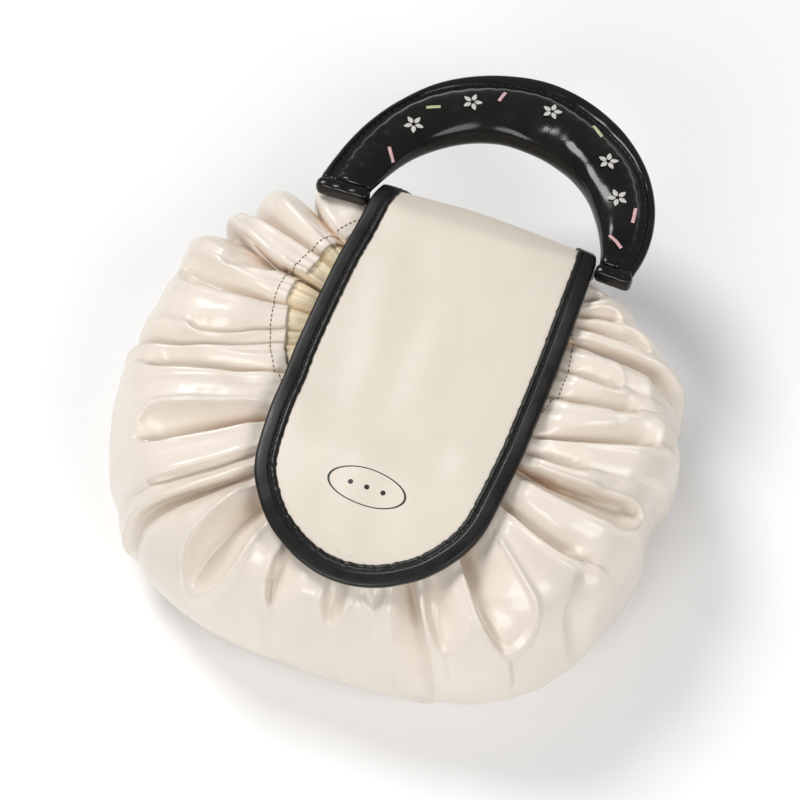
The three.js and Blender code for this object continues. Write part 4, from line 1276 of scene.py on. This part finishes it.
class BAG_OT_handle(bpy.types.Operator):
    """Build the padded ring handle with its seam and its sewn ends"""

    bl_idname = "bag.handle"
    bl_label = "Padded handle"

    def execute(self, context):
        sizes = context.scene.bag_sizes
        colours = context.scene.bag_colours
        degrees = np.linspace(HANDLE[0][0], HANDLE[-1][0], HANDLE_STEPS + 1)
        level = handle_level(degrees)
        rim = HANDLE_RIM_WALL / 2
        angles = np.radians(np.linspace(*PAD_ARC))
        rings = []
        inner, seam, outer, pad = handle_sizes(degrees)
        middle = (inner + seam) / 2
        half = (seam - inner) / 2
        run = np.radians(degrees) * (inner + outer) / 2
        for k, angle in enumerate(degrees):
            swell = 0.12 * math.sin(run[k] / 2.9) + 0.1 * math.sin(run[k] / 1.7 + 1)
            flange = outer[k] - seam[k]
            section = [
                (outer[k] - 0.5, rim * 0.75), (outer[k] - 1.4, rim + 0.1 + swell),
                (outer[k] - 0.45 * flange, rim + 0.45 + swell), (seam[k] + 3.3, rim + 0.1),
                (seam[k] + 2.9, rim - 0.5), (seam[k] + 2.3, rim - 0.5), (seam[k] + 1.9, rim + 0.1),
                (seam[k] + 1.0, rim - 0.3),
            ]
            for a in angles:
                near_seam = (0.5 + 0.5 * math.cos(a)) ** 3
                crinkle = 0.4 * math.sin(run[k] * 2 * math.pi / 6.3 + 2 * math.sin(a)) * near_seam
                soft = 0.3 * math.sin(run[k] / 8.5 + 3 * a) + 0.16 * math.sin(run[k] / 3.7 - 2 * a)
                grow = 1 + (crinkle + soft) / max(pad[k], 3)
                across = signed_power(math.cos(a), PAD_ACROSS_POWER)
                thick = signed_power(math.sin(a), PAD_THICK_POWER)
                section.append((middle[k] + half[k] * across, pad[k] * thick * grow))
            section += [(seam[k] + 1.2, 0.35 - rim), (seam[k] + 2.6, -rim), (outer[k] - 0.8, -rim)]
            section += [(outer[k] - 0.15, -rim * 0.6), (outer[k], 0), (outer[k] - 0.15, rim * 0.4)]
            rings.append([polar(r, angle, level[k] + v) for r, v in section])
        leather = black_leather("glossy_black_leather", colours, 0.11, 0.22, 0.32)
        obj = sweep("padded_handle", rings[::-1], leather)
        finish_piece(obj, ["handle_grip"])
        line = polar(seam + HANDLE_SEAM, degrees, level + rim - 0.35)[2:-2]
        up = np.tile([0.0, 0.0, 1.0], (len(line), 1))
        black = thread("black_handle_thread", colours.black)
        stitches = stitch_row("handle_stitches", line, up, black, *plain_stitch(sizes))
        finish_piece(stitches)
        for name, axis in (("handle_end_right", END_AXES[0]), ("handle_end_left", END_AXES[1])):
            self.end_roll(name, axis, leather)
        self.dashes(colours)
        self.flowers(colours)
        return {"FINISHED"}

    def dashes(self, colours):
        """Sprinkle dashes in satin stitch on the handle's upper side"""
        for name, dashes in DASHES.items():
            threads = []
            for ends in np.array(dashes):
                line = [pad_point(*mix(ends[0], ends[1], t)) for t in (0, 0.5, 1)]
                threads += satin(line, lambda t: DASH_WIDTH)
            paint = thread(name + "_dashes_thread", getattr(colours, name))
            finish_piece(lay_threads(name + "_dashes", threads, THREAD_WIDTH, THREAD_RISE, paint))

    def flowers(self, colours):
        """Small plain five-petal flowers in satin stitch"""
        threads = []
        for degree, share in FLOWERS:
            middle = pad_point(degree, share)
            side = unit(pad_point(degree + 1, share) - middle)
            out = pad_point(degree, share + 0.1) - pad_point(degree, share - 0.1)
            out = unit(out - side * np.dot(out, side))
            for petal in range(FLOWER_PETALS):
                turn = 2 * math.pi * petal / FLOWER_PETALS + math.radians(degree)
                ray = out * math.cos(turn) + side * math.sin(turn)
                ends = [middle + ray * FLOWER_EYE, middle + ray * FLOWER_RADIUS]
                threads += satin(ends, lambda t: 0.5 + 1.7 * math.sin(math.pi * t ** 0.8))
        paint = thread("white_thread", colours.white)
        finish_piece(lay_threads("stitched_flowers", threads, THREAD_WIDTH, THREAD_RISE, paint))

    def end_roll(self, name, axis, leather):
        """Rounded bound edge across one end of the handle"""
        inner, outer, out, along, middle = axis
        height = HANDLE_PAD_HALF * HANDLE[0][4] + END_ROLL_OVER
        level = handle_end_height()
        rings = []
        for t in np.linspace(0, 1, 25):
            end = 1 - (2 * t - 1) ** 12 * 0.45
            ring = []
            for a in np.radians(np.arange(0, 360, 15)):
                c = signed_power(math.cos(a), END_ROLL_POWER)
                s = signed_power(math.sin(a), END_ROLL_POWER)
                wave = 1 + 0.03 * math.sin(t * 21 + 2 * a)
                at = middle + out * mix(inner, outer, t) + along * c * end * END_ROLL_WIDTH / 2
                at[2] = level + s * end * height * wave
                ring.append(at)
            rings.append(ring)
        obj = sweep(name + "_roll", rings, leather)
        finish_piece(obj, [name])


class BAG_OT_studio(bpy.types.Operator):
    """Set up the pale floor, the soft lights and the camera"""

    bl_idname = "bag.studio"
    bl_label = "Studio"

    def execute(self, context):
        colours = context.scene.bag_colours
        bpy.ops.object.select_all(action="DESELECT")
        bpy.ops.mesh.primitive_plane_add(size=FLOOR_SIZE, location=(0, 0, 0))
        floor = context.active_object
        floor.name = "studio_floor"
        paint = Finish("pale_floor")
        floor.data.materials.append(paint.surface(Base_Color=shade(colours.floor), Roughness=0.9))
        world = bpy.data.worlds.new("studio_air")
        world.use_nodes = True
        air = world.node_tree.nodes["Background"].inputs
        air["Color"].default_value = (1, 1, 1, 1)
        air["Strength"].default_value = AIR_LIGHT
        context.scene.world = world
        context.scene.view_settings.view_transform = "Standard"
        for name, place, size, power in LAMPS:
            bpy.ops.object.light_add(type="AREA", location=place)
            lamp = context.active_object
            lamp.name = name
            lamp.data.shape = "DISK"
            lamp.data.size = size
            lamp.data.energy = power
            away = Vector(LAMPS_LOOK_AT) - Vector(place)
            lamp.rotation_euler = away.to_track_quat("-Z", "Y").to_euler()
        azimuth = math.radians(VIEW_AZIMUTH)
        elevation = math.radians(VIEW_ELEVATION)
        back = Vector((
            math.sin(azimuth) * math.cos(elevation), -math.cos(azimuth) * math.cos(elevation),
            math.sin(elevation)))
        target = Vector(VIEW_TARGET)
        bpy.ops.object.camera_add(location=target + back * VIEW_DISTANCE)
        camera = context.active_object
        camera.name = "picture_camera"
        camera.data.lens = VIEW_LENS
        camera.data.sensor_width = VIEW_SENSOR
        camera.rotation_euler = (-back).to_track_quat("-Z", "Y").to_euler()
        context.scene.camera = camera
        return {"FINISHED"}


class BAG_PT_panel(bpy.types.Panel):
    """Sizes, colours and building steps of the bag"""

    bl_idname = "BAG_PT_panel"
    bl_label = "Cosmetic bag"
    bl_space_type = "VIEW_3D"
    bl_region_type = "UI"
    bl_category = "Bag"

    def draw(self, context):
        layout = self.layout
        for group in (context.scene.bag_sizes, context.scene.bag_colours):
            box = layout.box()
            for name in group.bl_rna.properties.keys():
                if name not in ("name", "rna_type"):
                    box.prop(group, name)
        for step in STEPS:
            layout.operator(step.bl_idname)


STEPS = (BAG_OT_body, BAG_OT_lining, BAG_OT_flap, BAG_OT_binding, BAG_OT_handle, BAG_OT_studio)
GROUPS = (BagSizes, BagColours)


def register():
    for one in GROUPS + STEPS + (BAG_PT_panel,):
        bpy.utils.register_class(one)
    bpy.types.Scene.bag_sizes = PointerProperty(type=BagSizes)
    bpy.types.Scene.bag_colours = PointerProperty(type=BagColours)


def unregister():
    del bpy.types.Scene.bag_colours
    del bpy.types.Scene.bag_sizes
    for one in reversed(GROUPS + STEPS + (BAG_PT_panel,)):
        bpy.utils.unregister_class(one)


def main():
    register()
    bpy.ops.bag.body()
    bpy.ops.bag.lining()
    bpy.ops.bag.flap()
    bpy.ops.bag.binding()
    bpy.ops.bag.handle()
    bpy.ops.bag.studio()


if __name__ == "__main__":
    main()
